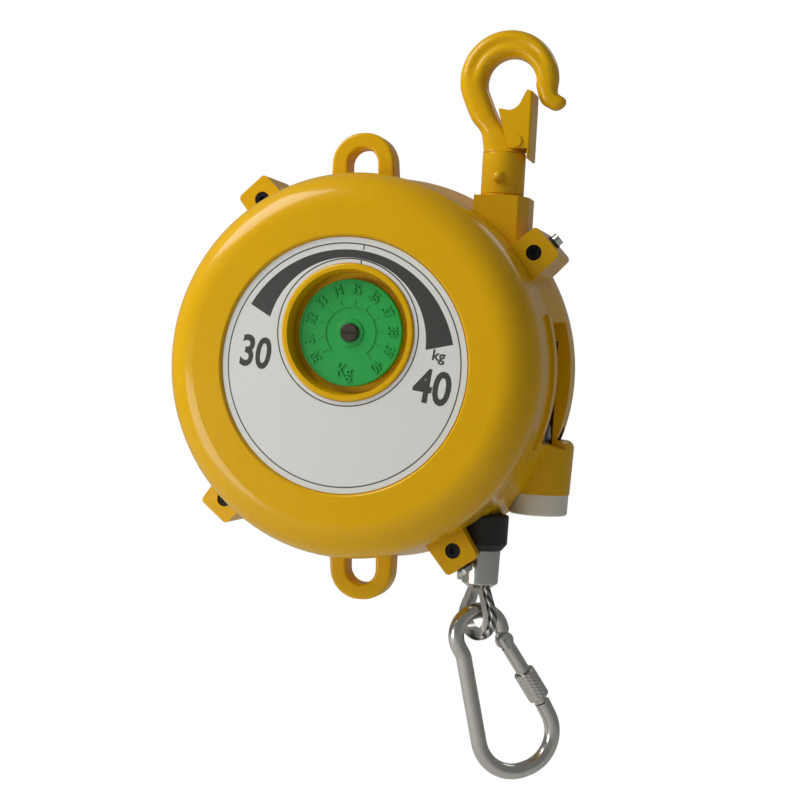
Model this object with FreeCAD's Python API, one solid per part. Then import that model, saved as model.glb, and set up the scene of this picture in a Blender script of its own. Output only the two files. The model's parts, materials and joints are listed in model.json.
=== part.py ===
"""Tool balancer: a spring-loaded cable drum in a cast two-piece case.

Millimetres.  X to the right, +Y towards the back, +Z up.  The sizes below are laid out from the drum
axis (along Y); the finished parts are moved so that the origin is inside the hook's bowl, at its top.
"""
import FreeCAD, Part
import math
import os

V = FreeCAD.Vector
AX, AY, AZ = V(1, 0, 0), V(0, 1, 0), V(0, 0, 1)
ORIGIN = V(0, 0, 0)

# ---- clearances -------------------------------------------------------------------------------
FIT = 0.05            # radial running fit of a shaft or pin in its bore
SEAT = 0.3            # gap between curved faces of different bodies
EASE = 1.0            # working gap round a moving piece
FACE = 0.02           # gap between flat faces that slide on each other

# ---- case -------------------------------------------------------------------------------------
CASE_R = 119.0        # outer radius of the front cover
REAR_R = 124.0        # outer radius of the rear case at its widest
WALL = 5.0            # casting wall
FRONT_Y = -62.0       # plane of the cover's front ring
PART_Y = -4.0         # parting plane between cover and rear case
REAR_Y = 58.0         # plane of the back
FLARE_Y = 28.0        # where the rear case reaches its full radius
COVER_ROUND = 22.0    # rounding of the cover's front edge
REAR_ROUND = 15.0     # rounding of the back edge

# ---- label and dial ---------------------------------------------------------------------------
LABEL_R = 77.2
LABEL_T = 0.8
LABEL_DEPTH = 2.0     # the label's face lies this far behind the front ring
DIAL_TILT = 5.7       # degrees clockwise from vertical of the line from drum axis to dial axis
DIAL_RING_R = 41.5    # raised ring round the dial
DIAL_RING_H = 1.6     # the ring stands this far in front of the label
DIAL_WELL_R = 36.6
DIAL_WELL_DEPTH = 11.0
DIAL_R = 32.5
DIAL_T = 4.0
DIAL_BOSS_R = 8.5
DIAL_SCREW_R = 5.8
DIAL_SCREW_H = 2.2
SCREW_SLOT = 1.4

# ---- gears ------------------------------------------------------------------------------------
GEAR_M = 1.0          # module of the dial train
PINION_N = 12
DIAL_GEAR_N = 28
DIAL_GEAR_T = 5.0
SPINDLE_R = 4.0
WORM_M = 3.0          # module of the adjusting worm
WHEEL_N = 64
WHEEL_T = 10.0
WHEEL_Y = 38.0        # middle plane of the worm wheel
WHEEL_WEB_T = 4.0
WORM_R = 10.0         # pitch radius of the worm
WORM_LEN = 44.0
WORM_TURNS = 4
WORM_BACKLASH = 1.0   # gap between worm thread and wheel tooth along the worm
WORM_JOURNAL_R = 6.0
WORM_HEX_AF = 8.0     # hexagon socket in the worm's lower end

# ---- shaft and bearings -----------------------------------------------------------------------
SHAFT_R = 9.0
KEY_W = 5.0
KEY_H = 5.0
BUSH_T = 3.0
BUSH_L = 9.0
BEARING_OR = 17.5
BEARING_W = 9.0

# ---- drum, spring and cable -------------------------------------------------------------------
CABLE_R = 2.4
CABLE_X = 76.2        # the suspension hook and the cable hang on this line
CABLE_Y = 12.0
CABLE_PITCH = 6.2     # spacing of the turns on the drum
CABLE_TURNS = 4
LEAD_L = 28.5         # straight stretch between the drum and the running cable
LEAD_GAP_DEG = 30.0   # the first turn stops this far short of the lead
DRUM_TAPER = 7.0      # rise of the bed from its first turn to its last
DRUM_FRONT_Y = -27.0
DRUM_REAR_Y = 24.0
DRUM_FLANGE_R = 88.5
SPRING_W = 28.0       # width of the mainspring strip
SPRING_T = 1.2
SPRING_TURNS = 9
SPRING_IN_R = 20.0    # inner radius of the wound spring
SPRING_OUT_R = 66.0

# ---- cable end --------------------------------------------------------------------------------
BUFFER_R = 16.2
BUFFER_L = 22.5
FERRULE_R = 12.0
FERRULE_L = 24.0
THIMBLE_R = 8.2       # inner radius of the eye
THIMBLE_T = 1.8
THIMBLE_W = 8.0
THIMBLE_TURN = -30.0  # degrees about Z
EYE_Z = -154.3        # centre of the eye's round end

# ---- suspension hook --------------------------------------------------------------------------
COLLAR_R = 13.6
COLLAR_Z1 = 138.8
STUD_R = 8.0
HOOK_BOWL_R = 15.7
HOOK_BACK_R = 31.4
HOOK_THICK = 18.0
LATCH_T = 1.7
LATCH_PIN_R = 2.5
BLOCK_W = 29.0        # hook seat on the case
BLOCK_REAR_Y = 27.0
BLOCK_Z = 111.0
WASHER_T = 1.5
NUT_AF = 24.0
NUT_H = 11.0
NUT_TOP_Z = 79.0

# ---- lugs and eyes ----------------------------------------------------------------------------
LUG_PCD_R = 128.0
LUG_ANGLES = (36.0, 126.0, 225.2, 299.8)
LUG_W = 23.0
LUG_TWIST = 7.0
LUG_FRONT_Y = -14.0
LUG_BACK_Y = 26.0
LUG_SCREW_R = 3.0
LUG_HEAD_R = 2.9
EYE_ANGLES = (93.0, 273.0)
EYE_PCD_R = 126.8
EYE_HOLE_R = 9.6
EYE_R = 19.3
EYE_T = 13.0

# ---- grip pocket, worm barrel -----------------------------------------------------------------
POCKET_A0, POCKET_A1 = -20.5, 16.5
POCKET_Y1 = 27.0
POCKET_FLOOR_R = 108.0
BARREL_R = 19.6
BARREL_Z0 = -75.0
BARREL_TOP_Z = 36.0
CAP_H = 13.5

# ---- cable exit -------------------------------------------------------------------------------
EXIT_ROOF_Z = -88.6   # roof of the recess that takes the buffer
GUIDE_R = 7.0
GUIDE_H = 8.0

# ---- fasteners --------------------------------------------------------------------------------
FLANK_HEAD_R = 3.7    # screws in the outer flanks of the two right-hand lugs
FLANK_HEAD_H = 3.2
FLANK_SHANK_R = 2.0
FLANK_SHANK_L = 6.5
FLANK_HEX_AF = 3.5
FLANK_WASHER_R = 4.3
FLANK_WASHER_T = 1.6
LUG_HEAD_DEPTH = 4.0
COVER_SCREW_SHORT = 9.8     # the lower right screw ends in front of the buffer
BRIDGE_SCREW_R = 1.5
BRIDGE_SCREW_PCD_R = 31.0

# ---- carabiner (its own plane: p across, q down from the top of the small end) -------------------
WIRE_R = 5.0
CARABINER_TURN = 35.0     # degrees about Z
CARABINER_TILT = 18.0     # degrees out of plumb, as it rests on the eye
CARABINER_TOP = (-6.95, -147.7)    # (along its plane from the cable, Z) of the small end's top
SMALL_END_R = 15.5
BIG_END_R = 25.5
SLEEVE_R = 7.0
SLEEVE_L = 21.0
GATE_PIN_R = 1.6


# ---- helpers ----------------------------------------------------------------------------------
def polar(r, deg, y=0.0):
    """Point at radius r and angle deg (from +X towards +Z) in the plane at depth y."""
    a = math.radians(deg)
    return V(r * math.cos(a), y, r * math.sin(a))


def rounded_edges(points, place, closed=True):
    """Lines and tangent arcs through points (u, v, radius), mapped to 3-D by place(u, v)."""
    n = len(points)
    pts = [(p[0], p[1], p[2] if len(p) > 2 else 0.0) for p in points]
    stops = []
    for i, (u, v, r) in enumerate(pts):
        if r <= 0 or (not closed and i in (0, n - 1)):
            stops.append([(u, v)])
            continue
        (ua, va, _), (ub, vb, _) = pts[i - 1], pts[(i + 1) % n]
        la, lb = math.hypot(ua - u, va - v), math.hypot(ub - u, vb - v)
        da, db = ((ua - u) / la, (va - v) / la), ((ub - u) / lb, (vb - v) / lb)
        half = math.acos(max(-1, min(1, da[0] * db[0] + da[1] * db[1]))) / 2
        back = r / math.tan(half)
        mid = (da[0] + db[0], da[1] + db[1])
        ml = math.hypot(*mid)
        reach = r / math.sin(half) - r
        stops.append([(u + da[0] * back, v + da[1] * back),
                      (u + mid[0] / ml * reach, v + mid[1] / ml * reach),
                      (u + db[0] * back, v + db[1] * back)])
    edges = []
    for i, s in enumerate(stops):
        if len(s) == 3:
            edges.append(Part.Arc(place(*s[0]), place(*s[1]), place(*s[2])).toShape())
        if i < n - 1 or closed:
            a, b = place(*s[-1]), place(*stops[(i + 1) % n][0])
            if (a - b).Length > 1e-6:
                edges.append(Part.makeLine(a, b))
    return edges


def face_of(points, place):
    return Part.Face(Part.Wire(Part.__sortEdges__(rounded_edges(points, place))))


def turned(points):
    """Solid of revolution about the drum axis from a profile of (radius, y, rounding)."""
    return face_of(points, lambda r, y: V(r, y, 0)).revolve(ORIGIN, AY, 360)


def turned_z(points, x=0.0, y=0.0):
    """Solid of revolution about a vertical axis from a profile of (radius, z, rounding)."""
    return face_of(points, lambda r, z: V(x + r, y, z)).revolve(V(x, y, 0), AZ, 360)


def plate_xz(points, y0, y1):
    """Outline of (x, z, rounding) given thickness from y0 to y1."""
    return face_of(points, lambda x, z: V(x, y0, z)).extrude(V(0, y1 - y0, 0))


def rod(p, q, r):
    return Part.makeCylinder(r, (q - p).Length, p, q - p)


def tube_y(r1, r0, y0, y1, x=0.0, z=0.0):
    outer = Part.makeCylinder(r1, y1 - y0, V(x, y0, z), AY)
    return outer.cut(Part.makeCylinder(r0, y1 - y0, V(x, y0, z), AY))


def sector(r1, a0, a1, y0, y1, r0=0.0):
    """Ring sector between two angles, along the drum axis."""
    mid = (a0 + a1) / 2
    arc = Part.Arc(polar(r1, a0, y0), polar(r1, mid, y0), polar(r1, a1, y0)).toShape()
    edges = [arc]
    if r0 > 0:
        edges.append(Part.Arc(polar(r0, a0, y0), polar(r0, mid, y0), polar(r0, a1, y0)).toShape())
        edges.append(Part.makeLine(polar(r1, a0, y0), polar(r0, a0, y0)))
        edges.append(Part.makeLine(polar(r1, a1, y0), polar(r0, a1, y0)))
    else:
        edges.append(Part.makeLine(polar(r1, a0, y0), V(0, y0, 0)))
        edges.append(Part.makeLine(polar(r1, a1, y0), V(0, y0, 0)))
    return Part.Face(Part.Wire(Part.__sortEdges__(edges))).extrude(V(0, y1 - y0, 0))


def fused(shapes):
    out = shapes[0]
    for s in shapes[1:]:
        out = out.fuse(s)
    return out.removeSplitter()


def hexagon(af, p, direction, h):
    """Hexagonal prism across flats af, standing on point p along direction."""
    prism = Part.Face(Part.makePolygon([V(af / math.sqrt(3) * math.cos(math.radians(60 * i)),
                                          af / math.sqrt(3) * math.sin(math.radians(60 * i)), 0)
                                        for i in range(7)])).extrude(V(0, 0, h))
    prism.Placement = FreeCAD.Placement(p, FreeCAD.Rotation(AZ, direction))
    return prism


def gear_solid(teeth, module, y0, y1, phase=0.0, thin=0.12):
    """Spur gear about the drum axis with straight-flanked teeth, thinned for backlash."""
    pitch = 360.0 / teeth
    r0 = module * (teeth / 2 - 1.2)
    r1 = module * (teeth / 2 + 0.9)
    root, tip = pitch * 0.36, pitch * (0.16 - thin / 2)
    pts = []
    for i in range(teeth):
        a = phase + i * pitch
        pts += [polar(r0, a - root, y0), polar(r1, a - tip, y0), polar(r1, a + tip, y0),
                polar(r0, a + root, y0)]
    return Part.Face(Part.makePolygon(pts + [pts[0]])).extrude(V(0, y1 - y0, 0))


# ---- derived places ---------------------------------------------------------------------------
LABEL_Y = FRONT_Y + LABEL_DEPTH
DIAL_DIST = GEAR_M * (PINION_N + DIAL_GEAR_N) / 2
DIAL_C = polar(DIAL_DIST, 90 - DIAL_TILT)
WELL_Y = LABEL_Y + DIAL_WELL_DEPTH
GEAR_Y0 = WELL_Y + WALL + EASE
GEAR_Y1 = GEAR_Y0 + DIAL_GEAR_T
BRIDGE_Y0 = GEAR_Y1 + EASE
BRIDGE_Y1 = BRIDGE_Y0 + BUSH_L
BUSH_R = SHAFT_R + BUSH_T
WHEEL_R = WORM_M * WHEEL_N / 2
WORM_X = WHEEL_R + WORM_R
REAR_IN_Y = REAR_Y - WALL
SHAFT_Y0 = GEAR_Y0
SHAFT_Y1 = REAR_IN_Y
BUFFER_TOP_Z = EXIT_ROOF_Z - SEAT
BUFFER_Z0 = BUFFER_TOP_Z - BUFFER_L
COLLAR_Z0 = BLOCK_Z + WASHER_T + FACE
WORM_AXIS = V(WORM_X, WHEEL_Y, 0)
WHEEL_TIP_R = WHEEL_R + 0.9 * WORM_M
FERRULE_Z0 = BUFFER_Z0 - FERRULE_L
HOOK_C = V(CABLE_X + 2.6, 0, 183.0)
HOOK_BACK_C = V(CABLE_X + 0.6, 0, 184.8)
LATCH_P = V(CABLE_X + 9.2, 0, 145.4)
HANG_POINT = V(HOOK_C.x, CABLE_Y, HOOK_C.z + HOOK_BOWL_R)
LATCH_IN = HOOK_THICK / 2 + SEAT
LATCH_OUT = LATCH_IN + LATCH_T
EYE_FRONT_Y = LUG_FRONT_Y - 7.0
BRIDGE_R = 38.5
WORM_TIP_R = WORM_R + WORM_M
FLANK_PLACES = ((LUG_ANGLES[0], 5.0), (LUG_ANGLES[3], (LUG_FRONT_Y + CABLE_Y - BUFFER_R - EASE) / 2))
WHEEL_HUB_Y0 = DRUM_REAR_Y + EASE
WHEEL_HUB_Y1 = REAR_IN_Y - BUSH_L - SEAT
ARBOR_Y0 = DRUM_FRONT_Y + BEARING_W + EASE
DRUM_FLOOR_Y = DRUM_REAR_Y - BEARING_W - 2.0
ARBOR_Y1 = DRUM_FLOOR_Y - EASE
SPRING_Y0 = DRUM_FLOOR_Y - SPRING_W - EASE
DIAL_PHASE = 90.0 - DIAL_TILT + 180.0
PINION_PHASE = 90.0 - DIAL_TILT + 15.0
WHEEL_PHASE = 360.0 / WHEEL_N / 2
SPRING_PIN_R = 1.6
SPRING_PIN_PCD_R = SPRING_OUT_R - 2.4
SPRING_PIN_ANGLE = 3.0
LOCK_R = 3.0          # plunger that holds the drum by one of the holes in its rear flange
LOCK_PLAY = 0.4
LOCK_TRAVEL = 6.0
LOCK_ANGLE = 175
LOCK_KNOB_R = 5.0
LOCK_KNOB_H = 5.0
LOCK_Y = (CABLE_Y + 3.5 + DRUM_REAR_Y) / 2
LOCK_TIP_R = DRUM_FLANGE_R + EASE
EYE_APEX_Z = FERRULE_Z0 + 6.0
SMALL_END_C = (2.5, 20.0)
SMALL_END_STOP = 8.0
BIG_END_C = (10.3, 89.0)
GATE_HINGE = (18.3, 29.0)
GATE_NOSE = (33.4, 76.0)
GATE_R = 4.6
TONGUE_HALF = 2.0
SLEEVE_GAP = 3.6
GATE_GAP = 0.9        # between gate and nose
HOOK_TIP_R = 5.0
HOOK_EAR_HALF = HOOK_THICK / 2 - 0.2
COLLAR_PIN_R = 3.0
COLLAR_PIN_Z = 122.6


# ---- front cover ------------------------------------------------------------------------------
def lug(angle, y0, y1):
    """Square ear round a cover screw, turned a little from the radial direction."""
    c = polar(LUG_PCD_R, angle)
    h = LUG_W / 2
    root = LUG_W * 0.8
    out = plate_xz([(h, -h, 3.0), (h, h, 3.0), (-root, h + 2.0), (-root, -h - 2.0)], y0, y1)
    out.rotate(ORIGIN, AY, -(angle + LUG_TWIST))
    out.translate(c)
    return out


def eye(angle):
    """Cast lifting loop, standing on the cover's rim."""
    stem = EYE_R * 1.6
    r, h = EYE_R, EYE_HOLE_R
    loop = plate_xz([(r, -r, 0.99 * r), (r, r, 0.99 * r), (-stem, r + 2.5), (-stem, -r - 2.5)], 0, EYE_T)
    hole = plate_xz([(h, -h, 0.99 * h), (h, h, 0.99 * h), (-h, h, 4.0), (-h, -h, 4.0)], 0, EYE_T)
    loop = loop.cut(hole)
    front = [e for e in loop.Edges if abs(e.CenterOfMass.y) < 0.01 and e.CenterOfMass.x > -0.2 * r]
    loop = loop.makeFillet(2.0, front)
    loop.rotate(ORIGIN, AY, -angle)
    loop.translate(polar(EYE_PCD_R, angle, EYE_FRONT_Y))
    return loop


def seat_block():
    """Boss on the rear case under the suspension hook."""
    x0, x1 = CABLE_X - BLOCK_W / 2, CABLE_X + BLOCK_W / 2
    spread = 4.0
    outline = [(x0, PART_Y, 0.0), (x1, PART_Y, 2.0), (x1 + spread, PART_Y + 12.0, 8.0),
               (x1 + spread, BLOCK_REAR_Y, 4.0), (x0, BLOCK_REAR_Y, 4.0)]
    return face_of(outline, lambda x, y: V(x, y, BLOCK_Z - 50)).extrude(V(0, 0, 50))


def case_patches():
    """Solid patches inside the wall: round the cable guide and under the suspension hook."""
    wide = BUFFER_R + WALL
    low = Part.makeBox(2 * wide, 2 * wide, 24, V(CABLE_X - wide, CABLE_Y - wide, EXIT_ROOF_Z - 16))
    high = Part.makeBox(36, 40, 60, V(CABLE_X - 18, CABLE_Y - 20, NUT_TOP_Z))
    return [low, high]


def case_cuts():
    """Buffer recess, guide seat, hook stud bore and nut room, cut through both castings."""
    def down(r, z1, h):
        return Part.makeCylinder(r, h, V(CABLE_X, CABLE_Y, z1 - h), AZ)
    return [down(BUFFER_R + EASE, EXIT_ROOF_Z, 60), down(GUIDE_R, EXIT_ROOF_Z + 30, 30),
            down(STUD_R + FIT, BLOCK_Z, 60), down(NUT_AF * 0.62 + EASE, NUT_TOP_Z, NUT_H + 16)]


def front_cover():
    inner = CASE_R - WALL
    shell = turned([(0, LABEL_Y + LABEL_T), (LABEL_R + SEAT, LABEL_Y + LABEL_T),
                    (LABEL_R + SEAT + 1.2, FRONT_Y, 0.8), (CASE_R - 1.2, FRONT_Y, COVER_ROUND),
                    (CASE_R, PART_Y, 0), (0, PART_Y)])
    lip = sector(CASE_R + 1.8, POCKET_A0 - 2, POCKET_A1 + 2, LUG_FRONT_Y + 1, PART_Y, inner + 1)
    outside = fused([shell, lip]
                    + [lug(a, LUG_FRONT_Y, PART_Y) for a in LUG_ANGLES]
                    + [eye(a) for a in EYE_ANGLES])
    cavity = turned([(0, PART_Y + EASE), (inner, PART_Y + EASE), (inner - 1.0, FRONT_Y + WALL + LABEL_DEPTH,
                     COVER_ROUND - WALL), (0, FRONT_Y + WALL + LABEL_DEPTH)])
    dx, dz = DIAL_C.x, DIAL_C.z
    dial_boss = Part.makeCylinder(DIAL_RING_R, BRIDGE_Y0 + 60, V(dx, -60, dz), AY)
    bridge_boss = Part.makeCylinder(BRIDGE_R, BRIDGE_Y0 + 60, V(0, -60, 0), AY)
    keep = dial_boss.fuse([bridge_boss] + case_patches())
    cover = outside.cut(cavity.cut(keep))
    ring = Part.makeCylinder(DIAL_RING_R, 6, V(dx, LABEL_Y - DIAL_RING_H, dz), AY)
    ring = ring.makeFillet(1.2, [e for e in ring.Edges if abs(e.CenterOfMass.y - LABEL_Y + DIAL_RING_H) < 0.01
                                 and e.Length > 50])
    cover = cover.fuse(ring)
    holes = [Part.makeCone(DIAL_WELL_R + 1.4, DIAL_WELL_R, DIAL_WELL_DEPTH + DIAL_RING_H,
                           V(dx, LABEL_Y - DIAL_RING_H, dz), AY),
             Part.makeCylinder(SPINDLE_R + FIT, 2 * WALL, V(dx, WELL_Y, dz), AY),
             Part.makeCylinder(GEAR_M * (DIAL_GEAR_N / 2 + 1) + EASE, BRIDGE_Y0 - GEAR_Y0 + EASE,
                               V(dx, GEAR_Y0 - EASE, dz), AY),
             Part.makeCylinder(SHAFT_R + EASE, BRIDGE_Y0 - GEAR_Y0 + EASE, V(0, GEAR_Y0 - EASE, 0), AY),
             *case_cuts()]
    for a in LUG_ANGLES:
        c = polar(LUG_PCD_R, a)
        holes.append(Part.makeCylinder(LUG_SCREW_R + FIT, 40, V(c.x, LUG_FRONT_Y - 20, c.z), AY))
        holes.append(Part.makeCylinder(LUG_HEAD_R + 2.0, 20 + LUG_HEAD_DEPTH, V(c.x, LUG_FRONT_Y - 20, c.z), AY))
    for p in bridge_screw_places():
        holes.append(Part.makeCylinder(BRIDGE_SCREW_R, 8, V(p.x, BRIDGE_Y0 - 8, p.z), AY))
    return cover.cut(holes + flank_holes())


def bridge_screw_places():
    return [polar(BRIDGE_SCREW_PCD_R, a) for a in (150, 270, 30)]


# ---- rear case --------------------------------------------------------------------------------
def rear_wall(offset, y0):
    """The rear case's outer surface moved inwards by offset, as a solid."""
    r0, r1, rear = CASE_R - offset, REAR_R - offset, REAR_Y - offset
    return turned([(0, y0), (r0, y0), (r1, FLARE_Y, 30.0), (r1, rear, REAR_ROUND - offset * 0.6), (0, rear)])


def rear_case():
    barrel = turned_z([(0, -40.0), (BARREL_R + 1.5, -40.0, 5.0), (BARREL_R, BARREL_Z0), (0, BARREL_Z0)],
                      WORM_X, WHEEL_Y)
    shell = fused([rear_wall(0, PART_Y), barrel, seat_block()]
                  + [lug(a, PART_Y, LUG_BACK_Y) for a in LUG_ANGLES])
    floor_ring = sector(REAR_R, POCKET_A0 - 3, POCKET_A1 + 3, PART_Y - 1, POCKET_Y1 + WALL * 0.8,
                        POCKET_FLOOR_R - WALL * 0.8)
    worm_house = Part.makeCylinder(BARREL_R, BARREL_TOP_Z - BARREL_Z0, V(WORM_X, WHEEL_Y, BARREL_Z0), AZ)
    bush_boss = Part.makeCylinder(BUSH_R + WALL, BUSH_L, V(0, REAR_IN_Y - BUSH_L, 0), AY)
    cap_pocket = Part.makeCylinder(BARREL_R + WALL, 28, V(WORM_X, WHEEL_Y, BARREL_Z0 - 22), AZ)
    lock_boss = rod(polar(CASE_R - 2 * WALL, LOCK_ANGLE, LOCK_Y), polar(CASE_R, LOCK_ANGLE, LOCK_Y), 2 * LOCK_R)
    keep = floor_ring.fuse([worm_house, bush_boss, cap_pocket, lock_boss] + case_patches())
    case = shell.cut(rear_wall(WALL, PART_Y - 1).cut(keep))
    holes = [sector(REAR_R + 20, POCKET_A0, POCKET_A1, PART_Y, POCKET_Y1, POCKET_FLOOR_R),
             Part.makeCylinder(WHEEL_TIP_R + EASE, WHEEL_T + 2 * EASE, V(0, WHEEL_Y - WHEEL_T / 2 - EASE, 0), AY),
             Part.makeCylinder(WORM_TIP_R + EASE, 200, WORM_AXIS + V(0, 0, WORM_LEN / 2 + EASE - 200), AZ),
             Part.makeCylinder(WORM_JOURNAL_R + FIT, 8, WORM_AXIS + V(0, 0, WORM_LEN / 2), AZ),
             Part.makeCylinder(BUSH_R, BUSH_L, V(0, REAR_IN_Y - BUSH_L, 0), AY),
             rod(polar(LOCK_TIP_R, LOCK_ANGLE, LOCK_Y), polar(REAR_R + WALL, LOCK_ANGLE, LOCK_Y), LOCK_R + FIT),
             Part.makeCylinder(BARREL_R + EASE, 40, V(WORM_X, WHEEL_Y, BARREL_Z0 - 40), AZ),
             *case_cuts()]
    for a in LUG_ANGLES:
        c = polar(LUG_PCD_R, a)
        holes.append(Part.makeCylinder(LUG_SCREW_R, LUG_BACK_Y - PART_Y - 4, V(c.x, PART_Y, c.z), AY))
    return case.cut(holes + flank_holes())


def flank_holes():
    return [rod(flank_point(a, y, 0), flank_point(a, y, -FLANK_SHANK_L - 1), FLANK_SHANK_R)
            for a, y in FLANK_PLACES]


def flank_point(angle, y, out):
    """Point on the middle of a lug's outer flank, moved outwards by out."""
    return polar(LUG_PCD_R, angle, y) + flank_direction(angle) * (LUG_W / 2 + out)


def flank_direction(angle):
    return polar(1, angle + LUG_TWIST)


# ---- small parts of the case ------------------------------------------------------------------
def label_plate():
    ring_hole = Part.makeCylinder(DIAL_RING_R + SEAT, LABEL_T, V(DIAL_C.x, LABEL_Y, DIAL_C.z), AY)
    disc = Part.makeCylinder(LABEL_R, LABEL_T - FACE, V(0, LABEL_Y, 0), AY)
    return disc.cut(ring_hole)


def socket_screw(p, direction, head_r, head_h, shank_r, shank_l, af):
    """Cap screw whose head sits with its underside on p and whose shank runs against direction."""
    screw = rod(p, p + direction * head_h, head_r).fuse(rod(p - direction * shank_l, p, shank_r))
    return screw.cut(hexagon(af, p + direction * (head_h * 0.4), direction, head_h))


def cover_screws():
    seat = LUG_FRONT_Y + LUG_HEAD_DEPTH
    lengths = (28.0, 28.0, 28.0, COVER_SCREW_SHORT)
    return [socket_screw(polar(LUG_PCD_R, a, seat), V(0, -1, 0), LUG_HEAD_R + 1.9, LUG_HEAD_DEPTH - 1.0,
                         LUG_SCREW_R, length, 4.0) for a, length in zip(LUG_ANGLES, lengths)]


def flank_washers():
    return [rod(flank_point(a, y, 0), flank_point(a, y, FLANK_WASHER_T), FLANK_WASHER_R).cut(
        rod(flank_point(a, y, -1), flank_point(a, y, 9), FLANK_SHANK_R)) for a, y in FLANK_PLACES]


def flank_screws():
    return [socket_screw(flank_point(a, y, FLANK_WASHER_T), flank_direction(a), FLANK_HEAD_R, FLANK_HEAD_H,
                         FLANK_SHANK_R, FLANK_SHANK_L + FLANK_WASHER_T, FLANK_HEX_AF) for a, y in FLANK_PLACES]


def cable_guide():
    """Nylon bush with a bell mouth at both ends."""
    z0, z1 = EXIT_ROOF_Z, EXIT_ROOF_Z + GUIDE_H
    throat = CABLE_R + 0.8
    return turned_z([(throat + 2.0, z0), (GUIDE_R, z0), (GUIDE_R, z1), (throat + 2.0, z1), (throat, z1 - 2.5, 2.0),
                     (throat, z0 + 2.5, 2.0)], CABLE_X)


def gear_bridge():
    """Plate inside the cover that closes the dial train and carries the front bush."""
    plate = turned([(BUSH_R, BRIDGE_Y0), (BRIDGE_R, BRIDGE_Y0), (BRIDGE_R, BRIDGE_Y0 + 4.0, 1.0),
                    (BUSH_R + 4.5, BRIDGE_Y0 + 4.0, 2.0), (BUSH_R + 4.5, BRIDGE_Y1, 1.0), (BUSH_R, BRIDGE_Y1)])
    cuts = [Part.makeCylinder(SPINDLE_R * 0.6 + FIT, 4.0, V(DIAL_C.x, BRIDGE_Y0, DIAL_C.z), AY)]
    for p in bridge_screw_places():
        cuts.append(Part.makeCylinder(BRIDGE_SCREW_R + FIT, 4, V(p.x, BRIDGE_Y0, p.z), AY))
    return plate.cut(cuts)


def bridge_screws():
    return [socket_screw(V(p.x, BRIDGE_Y0 + 4.0, p.z), AY, 2.6, 2.2, BRIDGE_SCREW_R, 9.0, 2.0)
            for p in bridge_screw_places()]


def bush(y0):
    return tube_y(BUSH_R, SHAFT_R + FIT, y0, y0 + BUSH_L)


# ---- dial -------------------------------------------------------------------------------------
def dial_disc():
    """Moulded dial with a raised rim, a raised scale arc and a boss round its screw."""
    y1 = WELL_Y - EASE
    y0 = y1 - DIAL_T
    rib = 0.8
    disc = turned([(SPINDLE_R * 0.6, y0 - rib), (DIAL_BOSS_R, y0 - rib, 0.5), (DIAL_BOSS_R, y0),
                   (DIAL_R - 1.2, y0), (DIAL_R - 1.2, y0 - 0.4), (DIAL_R, y0 - 0.4, 0.6), (DIAL_R, y1),
                   (SPINDLE_R * 0.6, y1)])
    arc = sector(DIAL_R * 0.50, -50 + 5, 230 - 5, y0 - 0.5, y0 + 0.5, DIAL_R * 0.50 - 0.9)
    disc = disc.fuse(arc).removeSplitter()
    disc.translate(V(DIAL_C.x, 0, DIAL_C.z))
    return disc


def dial_gear():
    """Gear on a stepped spindle: the dial is screwed to its front end, its rear end turns in the bridge."""
    gear = gear_solid(DIAL_GEAR_N, GEAR_M, GEAR_Y0, GEAR_Y1, DIAL_PHASE)
    dial_y1 = WELL_Y - EASE
    spindle = Part.makeCylinder(SPINDLE_R, GEAR_Y0 - dial_y1, V(0, dial_y1, 0), AY)
    nose = Part.makeCylinder(SPINDLE_R * 0.6, DIAL_T, V(0, dial_y1 - DIAL_T, 0), AY)
    tail = Part.makeCylinder(SPINDLE_R * 0.6, BRIDGE_Y0 + 3.5 - GEAR_Y1, V(0, GEAR_Y1, 0), AY)
    thread = Part.makeCylinder(1.5, 8, V(0, dial_y1 - DIAL_T, 0), AY)
    out = fused([gear, spindle, nose, tail]).cut(thread)
    out.translate(V(DIAL_C.x, 0, DIAL_C.z))
    return out


def dial_screw():
    y1 = WELL_Y - EASE - DIAL_T - 0.8
    head = turned([(0, y1 - DIAL_SCREW_H), (DIAL_SCREW_R, y1 - DIAL_SCREW_H, 0.9), (DIAL_SCREW_R, y1), (0, y1)])
    shank = Part.makeCylinder(1.5, 8.8, V(0, y1, 0), AY)
    slot = Part.makeBox(2 * DIAL_SCREW_R + 2, DIAL_SCREW_H * 0.6, SCREW_SLOT,
                        V(-DIAL_SCREW_R - 1, y1 - DIAL_SCREW_H, -SCREW_SLOT / 2))
    screw = head.fuse(shank).removeSplitter().cut(slot)
    screw.translate(V(DIAL_C.x, 0, DIAL_C.z))
    return screw


# ---- main shaft, worm gear --------------------------------------------------------------------
def main_shaft():
    """Shaft with the dial pinion cut on its front end and keyways for arbor and worm wheel."""
    pinion = gear_solid(PINION_N, GEAR_M, SHAFT_Y0, GEAR_Y1, PINION_PHASE)
    core = Part.makeCylinder(SHAFT_R, SHAFT_Y1 - BRIDGE_Y0 - SEAT, V(0, BRIDGE_Y0, 0), AY)
    neck = Part.makeCylinder(GEAR_M * (PINION_N / 2 - 1.2), BRIDGE_Y0 - GEAR_Y1 + 1, V(0, GEAR_Y1 - 0.5, 0), AY)
    shaft = fused([pinion, neck, core])
    return shaft.cut(key_block(ARBOR_Y0 + 3, ARBOR_Y1 - 3).fuse(key_block(WHEEL_HUB_Y0 + 1, WHEEL_HUB_Y1 - 1)))


def key_block(y0, y1):
    return Part.makeBox(KEY_W, y1 - y0, KEY_H, V(-KEY_W / 2, y0, SHAFT_R - KEY_H / 2))


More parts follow.
